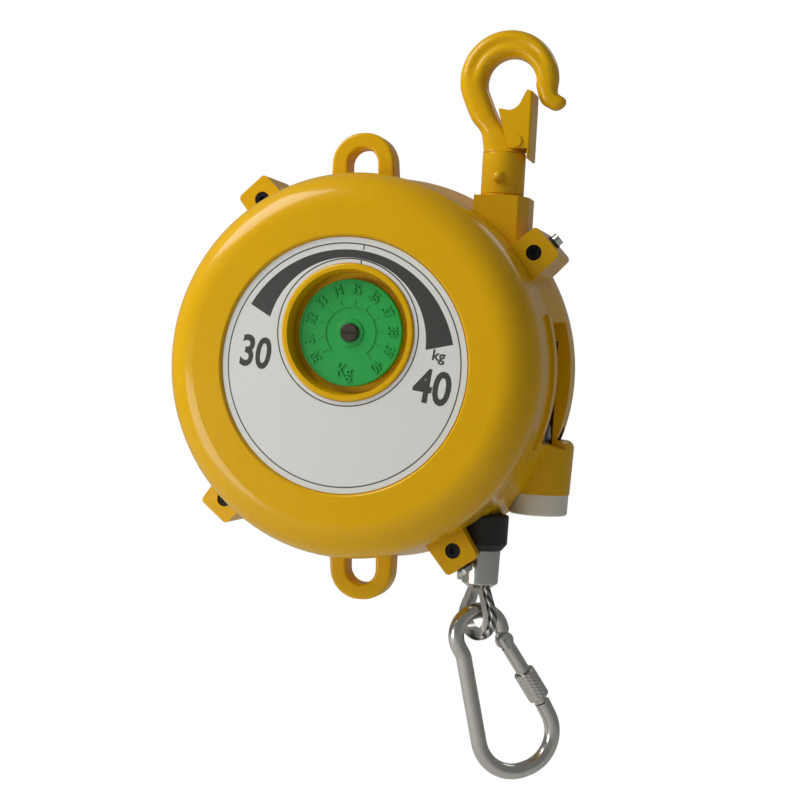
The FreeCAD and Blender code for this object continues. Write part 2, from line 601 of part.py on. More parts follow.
def worm_wheel():
    """Wheel with teeth inclined to the worm's lead, a thin web with holes and a keyed hub."""
    lead = math.degrees(WHEEL_T * WORM_M / (2 * WORM_R) / WHEEL_R)
    pitch = 360.0 / WHEEL_N
    space = WORM_BACKLASH / (math.pi * WORM_M)
    root, tip = pitch * (0.37 - space / 2), pitch * (0.14 - space / 2 + 0.02)
    r0, r1 = WHEEL_R - 1.15 * WORM_M, WHEEL_TIP_R
    wires = []
    for y, twist in ((WHEEL_Y - WHEEL_T / 2, lead / 2), (WHEEL_Y + WHEEL_T / 2, -lead / 2)):
        pts = []
        for i in range(WHEEL_N):
            a = WHEEL_PHASE + i * pitch + twist
            pts += [polar(r0, a - root, y), polar(r1, a - tip, y), polar(r1, a + tip, y), polar(r0, a + root, y)]
        wires.append(Part.makePolygon(pts + [pts[0]]))
    rim = Part.makeLoft(wires, True, True)
    web0, web1 = WHEEL_Y - WHEEL_WEB_T / 2, WHEEL_Y + WHEEL_WEB_T / 2
    rim_in, hub_r = r0 - 8.0, SHAFT_R + 8.0
    waist = [turned([(hub_r, y0), (rim_in, y0), (rim_in, y1), (hub_r, y1)])
             for y0, y1 in ((WHEEL_Y - WHEEL_T, web0), (web1, WHEEL_Y + WHEEL_T))]
    windows = [Part.makeCylinder(14.0, 3 * WHEEL_T, polar((rim_in + hub_r) / 2, a, WHEEL_Y - 1.5 * WHEEL_T), AY)
               for a in range(30, 390, 60)]
    wheel = rim.cut(waist + windows)
    hub = Part.makeCylinder(hub_r, WHEEL_HUB_Y1 - WHEEL_HUB_Y0, V(0, WHEEL_HUB_Y0, 0), AY)
    wheel = wheel.fuse(hub).removeSplitter()
    bore = Part.makeCylinder(SHAFT_R, 60, V(0, WHEEL_HUB_Y0 - 5, 0), AY)
    return wheel.cut(bore.fuse(key_block(WHEEL_HUB_Y0 - 1, WHEEL_HUB_Y1 + 1)))


def wheel_key():
    return key_block(WHEEL_HUB_Y0 + 1, WHEEL_HUB_Y1 - 1)


def spring_arbor():
    """Sleeve keyed to the shaft with a step that the mainspring's inner end hooks on."""
    arbor = tube_y(SPRING_IN_R - 2.0, SHAFT_R, ARBOR_Y0, ARBOR_Y1)
    return arbor.cut(key_block(ARBOR_Y0 + 3, ARBOR_Y1 - 3))


def arbor_key():
    return key_block(ARBOR_Y0 + 3, ARBOR_Y1 - 3)


def worm():
    """Single-start worm on a shaft that ends in a hexagon socket below."""
    pitch = math.pi * WORM_M
    root_r = WORM_R - 1.1 * WORM_M
    core = Part.makeCylinder(root_r, WORM_LEN, WORM_AXIS - V(0, 0, WORM_LEN / 2), AZ)
    half = pitch / 4 - WORM_BACKLASH / 4
    slope = math.tan(math.radians(20))
    deep, high = WORM_R - root_r + 0.6, WORM_M
    turns_len = WORM_TURNS * pitch
    helix = Part.makeHelix(pitch, turns_len, WORM_R)
    prof = Part.makePolygon([V(WORM_R - deep, 0, -half - deep * slope), V(WORM_R + high, 0, -half + high * slope),
                             V(WORM_R + high, 0, half - high * slope), V(WORM_R - deep, 0, half + deep * slope),
                             V(WORM_R - deep, 0, -half - deep * slope)])
    thread = Part.Wire(helix.Edges).makePipeShell([prof], True, True)
    thread.rotate(ORIGIN, AZ, 180)
    thread.translate(WORM_AXIS - V(0, 0, turns_len / 2))
    top = Part.makeCylinder(WORM_JOURNAL_R, 7, WORM_AXIS + V(0, 0, WORM_LEN / 2), AZ)
    low = Part.makeCylinder(WORM_JOURNAL_R, -WORM_LEN / 2 - BARREL_Z0, WORM_AXIS + V(0, 0, BARREL_Z0), AZ)
    out = core.fuse([thread, top, low])
    return out.cut(hexagon(WORM_HEX_AF, WORM_AXIS + V(0, 0, BARREL_Z0 - 1), AZ, 8))


def worm_bush():
    """Flanged bush pressed into the barrel's mouth."""
    z0 = BARREL_Z0
    return turned_z([(WORM_JOURNAL_R + FIT, z0), (WORM_TIP_R + EASE, z0), (WORM_TIP_R + EASE, z0 + 14),
                     (WORM_JOURNAL_R + FIT, z0 + 14)], WORM_X, WHEEL_Y)


def adjuster_cap():
    """White plastic cap over the worm's end."""
    z1 = BARREL_Z0 - FACE
    z0 = z1 - CAP_H
    r = BARREL_R - 0.9
    return turned_z([(0, z0), (r, z0, 1.5), (r + 0.4, z1), (WORM_JOURNAL_R + 3, z1), (WORM_JOURNAL_R + 3, z1 - 8, 2.0),
                     (0, z1 - 8)], WORM_X, WHEEL_Y)


# ---- drum -------------------------------------------------------------------------------------
def on_path(wire, r):
    """Circle of radius r square to the start of a path."""
    edge = wire.Edges[0]
    t = edge.tangentAt(edge.FirstParameter)
    return Part.Wire(Part.Circle(edge.valueAt(edge.FirstParameter), t, r).toShape())


def drum():
    """Cup-shaped drum with a conical bed between two flanges, closed in front by the spring cover."""
    bed = CABLE_X - CABLE_R - SEAT
    high_y = CABLE_Y - CABLE_PITCH * CABLE_TURNS
    bore = SPRING_OUT_R + EASE
    back = DRUM_REAR_Y - 4
    outer = turned([(bore, DRUM_FRONT_Y), (bed + 2, DRUM_FRONT_Y, 1.0), (bed + 2, high_y - 6.5),
                    (DRUM_FLANGE_R, high_y - 6.5, 0.8), (DRUM_FLANGE_R, high_y - 3.5, 0.8),
                    (bed + DRUM_TAPER, high_y - 3.0), (bed + DRUM_TAPER, high_y), (bed, CABLE_Y), (bed, CABLE_Y + 3.0),
                    (DRUM_FLANGE_R, CABLE_Y + 3.5, 0.8), (DRUM_FLANGE_R, DRUM_REAR_Y, 0.8),
                    (DRUM_FLANGE_R - 8, DRUM_REAR_Y), (DRUM_FLANGE_R - 12, back, 2.0), (BEARING_OR + 5, back, 2.0),
                    (BEARING_OR + 5, DRUM_REAR_Y), (BEARING_OR, DRUM_REAR_Y),
                    (BEARING_OR, DRUM_REAR_Y - BEARING_W), (BEARING_OR - 3, DRUM_REAR_Y - BEARING_W),
                    (BEARING_OR - 3, DRUM_FLOOR_Y), (bore, DRUM_FLOOR_Y, 3.0)])
    pin_p = polar(SPRING_PIN_PCD_R, SPRING_PIN_ANGLE, DRUM_FLOOR_Y - 1)
    holes = [rod(polar(LOCK_TIP_R - LOCK_TRAVEL - EASE, a, LOCK_Y), polar(DRUM_FLANGE_R + EASE, a, LOCK_Y),
                 LOCK_R + LOCK_PLAY) for a in range(LOCK_ANGLE % 60, 360, 60)]
    return outer.cut(holes + [Part.makeCylinder(SPRING_PIN_R, 5, pin_p, AY)])


def spring_cover():
    """Front plate of the drum with the hub that holds the front bearing."""
    bore = SPRING_OUT_R + EASE
    y0 = DRUM_FRONT_Y
    hub = y0 + BEARING_W
    plate = turned([(BEARING_OR, y0), (bore - FIT, y0, 0.8), (bore - FIT, y0 + 4), (BEARING_OR + 5, y0 + 4, 2.0),
                    (BEARING_OR + 5, hub), (BEARING_OR, hub)])
    return plate


def bearing(y0):
    """Sealed ball bearing, seen as two rings with a shield between."""
    y1 = y0 + BEARING_W
    inner, outer = SHAFT_R + FIT, BEARING_OR
    a, b = inner + 2.2, outer - 2.4
    return turned([(inner, y0, 0.5), (a, y0), (a, y0 + 0.5), (b, y0 + 0.5), (b, y0), (outer, y0, 0.5), (outer, y1, 0.5),
                   (b, y1), (b, y1 - 0.5), (a, y1 - 0.5), (a, y1), (inner, y1, 0.5)])


def mainspring():
    """Flat spiral spring of half circles on two centres; a pin in the drum's wall holds its outer end."""
    r0, r1 = SPRING_IN_R, SPRING_PIN_PCD_R - SPRING_PIN_R - SPRING_T - 0.1
    half_turns = 2 * SPRING_TURNS
    growth = (r1 - r0) / half_turns

    def half_circle(i, extra):
        centre, sign = (0.0, 1) if i % 2 == 0 else (growth, -1)
        r = r0 + extra + i * growth
        return Part.Arc(V(centre + sign * r, SPRING_Y0, 0), V(centre, SPRING_Y0, sign * r),
                        V(centre - sign * r, SPRING_Y0, 0)).toShape()
    sides = [half_circle(i, extra) for extra in (0, SPRING_T) for i in range(half_turns)]
    ends = [Part.makeLine(V(r, SPRING_Y0, 0), V(r + SPRING_T, SPRING_Y0, 0)) for r in (r0, r1)]
    return Part.Face(Part.Wire(Part.__sortEdges__(sides + ends))).extrude(V(0, SPRING_W, 0))


def spring_pin():
    """Pin in the drum's floor that the mainspring's outer end wraps."""
    p = polar(SPRING_PIN_PCD_R, SPRING_PIN_ANGLE, DRUM_FLOOR_Y)
    return rod(p - V(0, SPRING_W + EASE, 0), p + V(0, 4.0, 0), SPRING_PIN_R)


def cable_wound():
    """Turns side by side on the tapered bed, and the straight lead that drops towards the guide."""
    turns = []
    for i in range(CABLE_TURNS):
        x, y = CABLE_X + DRUM_TAPER * i / CABLE_TURNS, CABLE_Y - i * CABLE_PITCH
        section = Part.Face(Part.Wire(Part.makeCircle(CABLE_R, V(x, y, 0), AZ)))
        turns.append(section.revolve(ORIGIN, AY, -360 if i else LEAD_GAP_DEG - 360))
    return turns + [rod(V(CABLE_X, CABLE_Y, -LEAD_L + SEAT), V(CABLE_X, CABLE_Y, -FACE), CABLE_R)]


# ---- cable end --------------------------------------------------------------------------------
def cable_run():
    """Straight cable from the drum down into the ferrule."""
    return rod(V(CABLE_X, 0, FERRULE_Z0 + 6), V(CABLE_X, 0, -LEAD_L), CABLE_R)


def buffer():
    z0, z1 = BUFFER_Z0, BUFFER_TOP_Z
    hole = CABLE_R + FIT
    return turned_z([(hole, z0), (BUFFER_R - 3.5, z0), (BUFFER_R - 0.3, z0 + 4.0), (BUFFER_R, z1, 1.5), (hole, z1)],
                    CABLE_X)


def ferrule():
    """Pressed sleeve below the buffer with a clamp screw in its side."""
    z0, z1 = FERRULE_Z0, BUFFER_Z0 - FACE
    body = turned_z([(0, z0), (FERRULE_R - 4.5, z0), (FERRULE_R - 0.6, z0 + 2.8, 1.0), (FERRULE_R, z1), (0, z1)],
                    CABLE_X)
    body = body.cut(rod(V(CABLE_X, 0, z0 + 6), V(CABLE_X, 0, z1 + 1), CABLE_R))
    return body.cut(eye_rope_solid().fuse(thimble_envelope())).cut(clamp_screw())


def clamp_screw():
    z = FERRULE_Z0 + 8.0
    d = V(-1, 0, 0)
    return rod(V(CABLE_X, 0, z) + d * (CABLE_R + 5), V(CABLE_X, 0, z) + d * (FERRULE_R + 2.0), 4.6)


def teardrop(offset):
    """Closed teardrop round the eye's centre in the XZ plane, moved outwards by offset."""
    r = THIMBLE_R + offset
    apex = EYE_APEX_Z - EYE_Z + offset * 1.6
    a = math.acos(r / apex)
    left, right = V(-r * math.sin(a), 0, r * math.cos(a)), V(r * math.sin(a), 0, r * math.cos(a))
    arc = Part.Arc(left, V(0, 0, -r), right).toShape()
    top = V(0, 0, apex)
    return Part.Wire([Part.makeLine(top, left), arc, Part.makeLine(right, top)])


def eye_solid(offset, half_w):
    solid = Part.Face(teardrop(offset)).extrude(V(0, 2 * half_w, 0))
    solid.translate(V(0, -half_w, 0))
    return solid


def eye_place(shape):
    shape.rotate(ORIGIN, AZ, THIMBLE_TURN)
    shape.translate(V(CABLE_X, 0, EYE_Z))
    return shape


def thimble():
    """Heart thimble: a channel round the eye, open outwards to hold the cable."""
    flange = THIMBLE_T + CABLE_R * 1.1
    half = THIMBLE_W / 2
    body = eye_solid(flange, half).cut(eye_solid(0, half + 1))
    channel = eye_solid(flange + 9, half - 1.4).cut(eye_solid(THIMBLE_T, half - 1.4))
    body = body.cut(channel)
    keep = Part.makeBox(60, 40, 60, V(-30, -20, FERRULE_Z0 + 3 - EYE_Z - 60))
    return eye_place(body.common(keep))


def thimble_envelope():
    half = THIMBLE_W / 2
    return eye_place(eye_solid(THIMBLE_T + CABLE_R * 1.1, half).cut(eye_solid(0, half + 1)))


def eye_rope_raw():
    """The cable's own loop, laid in the thimble's channel."""
    half = THIMBLE_W / 2 - 1.4 - FIT
    loop = eye_solid(THIMBLE_T + FIT + 2 * half, half).cut(eye_solid(THIMBLE_T + FIT, half + 1))
    edges = [e for e in loop.Edges if e.Length > 20 and abs(abs(e.CenterOfMass.y) - half) < 0.01]
    loop = loop.makeFillet(half * 0.6, [e for e in edges if outside_eye(e)])
    keep = Part.makeBox(60, 40, 60, V(-30, -20, FERRULE_Z0 + 3 - EYE_Z - 60))
    return loop.common(keep)


def outside_eye(edge):
    mid = edge.valueAt((edge.FirstParameter + edge.LastParameter) / 2)
    inside = Part.Face(teardrop(THIMBLE_T + 2.0))
    return not inside.isInside(V(mid.x, 0, mid.z), 0.01, True)


def eye_rope_solid():
    return eye_place(eye_rope_raw())


# ---- carabiner --------------------------------------------------------------------------------
def carabiner_place(shape):
    """Take a shape from the carabiner's own plane (x = p, z = -q) to where it hangs."""
    shape.rotate(ORIGIN, AY, -CARABINER_TILT)
    shape.translate(V(CARABINER_TOP[0], 0, CARABINER_TOP[1]))
    shape.rotate(ORIGIN, AZ, CARABINER_TURN)
    shape.translate(V(CABLE_X, 0, 0))
    return shape


def carabiner_point(p, q, y=0.0):
    return V(p, y, -q)


def gate_frame():
    """Hinge point, nose point and unit direction of the gate in the carabiner's plane."""
    hinge, nose = carabiner_point(*GATE_HINGE), carabiner_point(*GATE_NOSE)
    d = nose - hinge
    length = d.Length
    return hinge, nose, d.normalize(), length


def wire_sweep(edges, r):
    path = Part.Wire(Part.__sortEdges__(edges))
    first = edges[0]
    start = first.valueAt(first.FirstParameter)
    tangent = first.tangentAt(first.FirstParameter)
    ring = Part.Wire(Part.Circle(start, tangent, r).toShape())
    return path.makePipeShell([ring], True, False)


def carabiner_body():
    """Bent wire: nose, big end, spine, waist and small end down to the gate's hinge."""
    sx, sq = SMALL_END_C
    r = SMALL_END_R
    leave = math.radians(15)
    lx, lq = sx - r * math.cos(leave), sq + r * math.sin(leave)
    wx, wq = lx + 6 * math.sin(leave), lq + 6 * math.cos(leave)
    open_path = [GATE_NOSE, (BIG_END_C[0] + BIG_END_R + 6.5, BIG_END_C[1] + BIG_END_R, BIG_END_R - 2),
                 (BIG_END_C[0] - BIG_END_R - 1.5, BIG_END_C[1] + BIG_END_R, BIG_END_R), (wx, wq, 9.0), (lx, lq)]
    edges = rounded_edges(open_path, lambda p, q: carabiner_point(p, q), closed=False)
    end = math.radians(SMALL_END_STOP)
    arc = Part.Arc(carabiner_point(lx, lq), carabiner_point(sx + r * math.sin(0.1), sq - r * math.cos(0.1)),
                   carabiner_point(sx + r * math.cos(end), sq + r * math.sin(end))).toShape()
    body = wire_sweep(edges + [arc], WIRE_R)
    hinge, nose, d, length = gate_frame()
    eye_disc = Part.makeCylinder(WIRE_R + 0.6, 2 * TONGUE_HALF, hinge - V(0, TONGUE_HALF, 0), AY)
    clear = Part.makeCylinder(WIRE_R + EASE + 0.6, 40, hinge - V(0, 20, 0), AY)
    body = body.cut(clear)
    stem_start = carabiner_point(sx + r * math.cos(end), sq + r * math.sin(end))
    tongue = rod(stem_start, hinge, WIRE_R - 0.8).common(
        Part.makeBox(60, 2 * TONGUE_HALF, 60, hinge + V(-30, -TONGUE_HALF, -30)))
    body = body.fuse([tongue, eye_disc]).removeSplitter()
    body = body.cut(Part.makeCylinder(GATE_PIN_R, 40, hinge - V(0, 20, 0), AY))
    catch = rod(nose + d * GATE_GAP, nose - d * (SLEEVE_GAP - EASE), WIRE_R / 2)
    return body.fuse(catch).removeSplitter()


def gate():
    """Round bar with a fork at the hinge, a threaded middle and a slot for the nose's catch."""
    hinge, nose, d, length = gate_frame()
    bar = rod(hinge + d * 2.0, nose - d * GATE_GAP, GATE_R)
    fork_disc = Part.makeCylinder(WIRE_R, 2 * GATE_R, hinge - V(0, GATE_R, 0), AY)
    fork_disc = fork_disc.common(rod(hinge - d * 9, hinge + d * 9, GATE_R + 0.5))
    bar = bar.fuse(fork_disc).removeSplitter()
    slot = Part.makeBox(40, 2 * TONGUE_HALF + 0.4, 2 * (WIRE_R + 0.9), V(-20, -TONGUE_HALF - 0.2, -WIRE_R - 0.9))
    slot.translate(hinge)
    bar = bar.cut(slot)
    for step in (0.0, 2.0, 4.0):
        room = rod(nose - d * (SLEEVE_GAP + GATE_GAP), nose + d, WIRE_R / 2 + EASE)
        room.translate(V(step, 0, 0))
        bar = bar.cut(room)
    return bar.cut(Part.makeCylinder(GATE_PIN_R + FIT, 40, hinge - V(0, 20, 0), AY))


def gate_pin():
    hinge, nose, d, length = gate_frame()
    pin = Part.makeCylinder(GATE_PIN_R, 2 * GATE_R + 1.0, hinge - V(0, GATE_R + 0.5, 0), AY)
    return pin


def sleeve():
    """Knurled locking nut on the gate."""
    hinge, nose, d, length = gate_frame()
    q = nose - d * (SLEEVE_GAP + SLEEVE_L)
    tube = rod(q, q + d * SLEEVE_L, SLEEVE_R)
    tube = tube.makeFillet(1.2, [e for e in tube.Edges if e.Length > 30 and len(e.Vertexes) == 1])
    return tube.cut(rod(q - d, q + d * (SLEEVE_L + 1), GATE_R + 0.3))


# ---- suspension hook --------------------------------------------------------------------------
def hook_section(inner, outer, thick):
    """Rounded section between an inner and an outer point of the hook."""
    mid = (inner + outer) * 0.5
    half = (outer - inner).Length / 2
    u = (outer - inner).normalize()
    pts = []
    for k in range(12):
        a = 2 * math.pi * k / 12
        c, s = math.cos(a), math.sin(a)
        shape = (abs(c) ** 2.6 + abs(s) ** 2.6) ** (-1 / 2.6)
        pts.append(mid + u * (half * c * shape) + AY * (thick / 2 * s * shape))
    curve = Part.BSplineCurve()
    curve.interpolate(pts, PeriodicFlag=True)
    return Part.Wire(curve.toShape())


def hook_stations():
    """Inner and outer points and thickness from the neck round the bowl to the bill."""
    out = []
    x = CABLE_X
    neck = COLLAR_R - 0.4
    out.append((V(x + neck, 0, COLLAR_Z1 + FACE), V(x - neck, 0, COLLAR_Z1 + FACE), 2 * neck))
    out.append((V(x + 11.8, 0, COLLAR_Z1 + 1.2), V(x - 13.2, 0, COLLAR_Z1 + 1.2), HOOK_THICK))
    out.append((V(x + 6.0, 0, 149.5), V(x - 15.5, 0, 151.5), HOOK_THICK))
    out.append((V(x - 3.5, 0, 159.6), V(x - 23.5, 0, 159.1), HOOK_THICK))
    for deg in (205, 185, 165, 145, 125, 105, 85, 65, 45, 25, 8, -8):
        d = polar(1, deg)
        inner = HOOK_C + d * HOOK_BOWL_R
        g = HOOK_C - HOOK_BACK_C
        b = g.dot(d)
        reach = -b + math.sqrt(b * b - g.dot(g) + HOOK_BACK_R ** 2)
        thick = HOOK_THICK if deg > 40 else HOOK_THICK - (40 - deg) * 0.09
        out.append((inner, HOOK_C + d * reach, thick))
    out.append((V(x + 23.0, 0, 171.4), V(x + 33.0, 0, 176.4), 11.5))
    return out


def top_hook():
    """Forged hook with grooved flanks, a round neck and a lug for the latch pin."""
    stations = hook_stations()
    loft = Part.makeLoft([hook_section(*s) for s in stations], True, True)
    tip = Part.makeSphere(HOOK_TIP_R, V(CABLE_X + 32.2, 0, HOOK_C.z - 11.3))
    shank = Part.makeCylinder(COLLAR_R - 4.5, 22, V(CABLE_X, 0, COLLAR_Z1 - 20), AZ)
    ear = plate_xz([(CABLE_X - 4, COLLAR_Z1 + 1), (CABLE_X + 10, COLLAR_Z1 + 1, 2.0),
                    (LATCH_P.x + 4.5, LATCH_P.z, 4.0), (LATCH_P.x - 1, LATCH_P.z + 7, 4.0),
                    (CABLE_X - 4, 162)], -HOOK_EAR_HALF, HOOK_EAR_HALF)
    hook = loft.fuse([tip, shank, ear])
    grooves = []
    for side in (-1, 1):
        c = (HOOK_C + HOOK_BACK_C) * 0.5
        grooves.append(Part.makeTorus((HOOK_BOWL_R + HOOK_BACK_R) / 2, 3.2,
                                      c + V(0, side * (HOOK_THICK / 2 + 1.5), 0), V(0, 1, 0)).common(
            Part.makeBox(60, 60, 60, V(CABLE_X, -30, HOOK_C.z - 6))))
    hook = hook.cut(grooves)
    hook = hook.cut(Part.makeCylinder(LATCH_PIN_R, 40, LATCH_P - V(0, 20, 0), AY))
    spring_room = Part.makeCylinder(LATCH_PIN_R + 4.0, 7.0, LATCH_P - V(0, 3.5, 0), AY)
    hook = hook.cut(spring_room)
    return hook.cut(Part.makeCylinder(COLLAR_PIN_R, 60, V(CABLE_X, -30, COLLAR_PIN_Z), AY))


def hook_collar():
    """Socket for the hook's shank, with a stud below that swivels in the case."""
    body = turned_z([(0, COLLAR_Z0), (COLLAR_R, COLLAR_Z0, 0.8), (COLLAR_R, COLLAR_Z1, 1.2), (COLLAR_R - 4.5, COLLAR_Z1),
                     (COLLAR_R - 4.5, COLLAR_Z1 - 20), (0, COLLAR_Z1 - 20)], CABLE_X)
    stud = Part.makeCylinder(STUD_R, COLLAR_Z0 - NUT_TOP_Z + NUT_H + 2, V(CABLE_X, 0, NUT_TOP_Z - NUT_H - 2), AZ)
    return body.fuse(stud).removeSplitter().cut(
        Part.makeCylinder(COLLAR_PIN_R, 60, V(CABLE_X, -30, COLLAR_PIN_Z), AY))


def collar_pin():
    """Cross pin through collar and shank with a domed head in front."""
    reach = math.sqrt(COLLAR_R ** 2 - COLLAR_PIN_R ** 2)
    pin = rod(V(CABLE_X, -COLLAR_R - 0.3, COLLAR_PIN_Z), V(CABLE_X, reach, COLLAR_PIN_Z), COLLAR_PIN_R)
    head = Part.makeSphere(COLLAR_PIN_R + 0.7, V(CABLE_X, -reach, COLLAR_PIN_Z))
    body = Part.makeCylinder(COLLAR_R, 40, V(CABLE_X, 0, COLLAR_PIN_Z - 20), AZ)
    return pin.fuse(head.cut(body)).removeSplitter()


def thrust_washer():
    return rod(V(CABLE_X, 0, BLOCK_Z), V(CABLE_X, 0, BLOCK_Z + WASHER_T), COLLAR_R - 0.5).cut(
        rod(V(CABLE_X, 0, BLOCK_Z - 1), V(CABLE_X, 0, BLOCK_Z + 9), STUD_R + FIT))


def hook_nut():
    z = NUT_TOP_Z - NUT_H - FACE
    nut = hexagon(NUT_AF, V(CABLE_X, 0, z), AZ, NUT_H)
    return nut.cut(Part.makeCylinder(STUD_R, 40, V(CABLE_X, 0, z - 5), AZ))


def latch():
    """Bent sheet latch: two cheeks on the hook's flanks joined by a spine under the bill."""
    px, pz = LATCH_P.x, LATCH_P.z
    spine_x = CABLE_X + 17.9
    top = HOOK_C.z - 6.6
    cheek = plate_xz([(px - 5.3, pz - 4.4, 5.0), (px + 4.0, pz - 4.4, 4.0), (spine_x, pz - 4.0),
                      (spine_x, top), (spine_x - 3.6, top + 1.2, 1.5), (spine_x - 8.5, top - 9.5, 9.0),
                      (px - 5.0, top - 12.0, 6.0), (px - 12.6, top - 10.5, 1.0)], -LATCH_OUT, LATCH_OUT)
    spine = Part.makeBox(LATCH_T, 2 * LATCH_OUT, top - pz + 10.5, V(spine_x - LATCH_T, -LATCH_OUT, pz - 10.5))
    body = cheek.fuse(spine).removeSplitter()
    hollow = Part.makeBox(60, 2 * LATCH_IN, 80, V(spine_x - LATCH_T - 60, -LATCH_IN, pz - 40))
    body = body.cut(hollow)
    body = body.makeFillet(1.5, [e for e in body.Edges if e.BoundBox.ZLength > 20 and
                                 abs(e.CenterOfMass.x - spine_x) < 0.01])
    return body.cut(Part.makeCylinder(LATCH_PIN_R + FIT, 40, LATCH_P - V(0, 20, 0), AY))


def latch_pin():
    pin = Part.makeCylinder(LATCH_PIN_R, 2 * LATCH_OUT + 0.4, LATCH_P - V(0, LATCH_OUT + 0.2, 0), AY)
    heads = [Part.makeCylinder(LATCH_PIN_R + 1.1, 1.2, LATCH_P + V(0, y, 0), AY)
             for y in (-LATCH_OUT - FACE - 1.2, LATCH_OUT + FACE)]
    return pin.fuse(heads).removeSplitter()


def latch_spring():
    """Torsion spring round the latch pin, one leg on the hook and one on the latch's spine."""
    helix = Part.makeHelix(1.9, 5.7, LATCH_PIN_R + 1.3)
    helix.rotate(ORIGIN, AX, -90)
    helix.translate(LATCH_P - V(0, 2.85, 0))
    return Part.Wire(helix.Edges).makePipeShell([on_path(helix, 0.7)], True, True)


# ---- drum lock --------------------------------------------------------------------------------
def lock_pin():
    """Plunger with a knob on the case's flank: pushed in, it holds the drum."""
    def at(r):
        return polar(r, LOCK_ANGLE, LOCK_Y)
    knob = REAR_R + LOCK_TRAVEL + SEAT
    pin = rod(at(LOCK_TIP_R), at(knob + LOCK_KNOB_H), LOCK_R).fuse(rod(at(knob), at(knob + LOCK_KNOB_H), LOCK_KNOB_R))
    return pin.removeSplitter()


NODES = {
    "front_cover": front_cover, "rear_case": rear_case, "label_plate": label_plate,
    "cover_screws": cover_screws, "flank_washers": flank_washers, "flank_screws": flank_screws,
    "cable_guide": cable_guide, "gear_bridge": gear_bridge, "bridge_screws": bridge_screws,
    "front_bush": lambda: bush(BRIDGE_Y0), "rear_bush": lambda: bush(REAR_IN_Y - BUSH_L),
    "worm_bush": worm_bush, "adjuster_cap": adjuster_cap, "thrust_washer": thrust_washer,
    "dial_disc": dial_disc, "dial_gear": dial_gear, "dial_screw": dial_screw,
    "main_shaft": main_shaft, "worm_wheel": worm_wheel, "wheel_key": wheel_key,
    "spring_arbor": spring_arbor, "arbor_key": arbor_key, "worm": worm,
    "drum": drum, "spring_cover": spring_cover, "front_bearing": lambda: bearing(DRUM_FRONT_Y),
    "rear_bearing": lambda: bearing(DRUM_REAR_Y - BEARING_W), "mainspring": mainspring,
    "spring_pin": spring_pin, "cable_wound": cable_wound,
    "cable_run": cable_run, "rubber_buffer": buffer, "ferrule": ferrule, "clamp_screw": clamp_screw,
    "thimble": thimble, "cable_eye": eye_rope_solid,
    "carabiner_body": lambda: carabiner_place(carabiner_body()),
    "carabiner_gate": lambda: carabiner_place(gate()), "gate_pin": lambda: carabiner_place(gate_pin()),
    "screw_sleeve": lambda: carabiner_place(sleeve()),
    "top_hook": top_hook, "hook_collar": hook_collar, "collar_pin": collar_pin, "hook_nut": hook_nut,
    "hook_latch": latch, "latch_pin": latch_pin, "latch_spring": latch_spring, "lock_pin": lock_pin,
}

HUNG = ("cable_guide", "thrust_washer", "cable_run", "rubber_buffer", "ferrule", "clamp_screw", "thimble",
        "cable_eye", "carabiner_body", "carabiner_gate", "gate_pin", "screw_sleeve", "top_hook", "hook_collar",
        "collar_pin", "hook_nut", "hook_latch", "latch_pin", "latch_spring")

os.makedirs("parts", exist_ok=True)
for node, make in NODES.items():
    made = make()
    shape = Part.makeCompound(made) if isinstance(made, list) else made
    to_line = V(0, CABLE_Y, 0) if node in HUNG else ORIGIN
    shape.translate(to_line - HANG_POINT)
    shape.exportStep("parts/" + node + ".step")
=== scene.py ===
"""Tool balancer: paint, print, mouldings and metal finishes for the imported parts, with a plain studio."""

import json
import math

import bmesh
import bpy
import numpy as np
from mathutils import Matrix, Vector


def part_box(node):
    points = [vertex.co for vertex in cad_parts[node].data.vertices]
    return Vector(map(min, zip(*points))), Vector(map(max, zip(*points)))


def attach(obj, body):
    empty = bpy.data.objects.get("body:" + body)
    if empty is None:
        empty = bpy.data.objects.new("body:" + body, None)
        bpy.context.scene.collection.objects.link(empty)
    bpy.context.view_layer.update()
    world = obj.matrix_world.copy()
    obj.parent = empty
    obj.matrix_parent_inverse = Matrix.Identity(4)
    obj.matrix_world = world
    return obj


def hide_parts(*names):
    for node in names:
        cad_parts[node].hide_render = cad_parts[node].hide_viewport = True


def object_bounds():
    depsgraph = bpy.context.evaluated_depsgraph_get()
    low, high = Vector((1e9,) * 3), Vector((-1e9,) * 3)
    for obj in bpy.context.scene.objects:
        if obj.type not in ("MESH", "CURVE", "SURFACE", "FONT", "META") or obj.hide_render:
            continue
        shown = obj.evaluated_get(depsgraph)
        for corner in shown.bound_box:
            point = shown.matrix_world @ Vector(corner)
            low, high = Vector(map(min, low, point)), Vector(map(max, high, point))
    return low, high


bl_info = {
    "name": "Tool balancer",
    "version": (1, 0, 0),
    "blender": (4, 5, 0),
    "location": "View3D > Sidebar > Balancer",
    "description": "Dresses the parts of a spring balancer with paint, print, rubber, nylon and plated steel",
    "category": "Object",
}

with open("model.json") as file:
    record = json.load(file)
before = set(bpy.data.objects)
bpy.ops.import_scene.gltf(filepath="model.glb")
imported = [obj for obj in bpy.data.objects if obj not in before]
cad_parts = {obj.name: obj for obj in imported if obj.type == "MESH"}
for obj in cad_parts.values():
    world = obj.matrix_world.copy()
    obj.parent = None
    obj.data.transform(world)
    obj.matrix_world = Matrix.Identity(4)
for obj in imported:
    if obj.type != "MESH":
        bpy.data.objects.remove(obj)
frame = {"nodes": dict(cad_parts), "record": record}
cad_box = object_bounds()

MM = 0.001


# ---- where things are -------------------------------------------------------------------------
def joint(name):
    """A joint's entry in the record."""
    return next(j for j in frame["record"]["behaviour"]["joints"] if j["name"] == name)


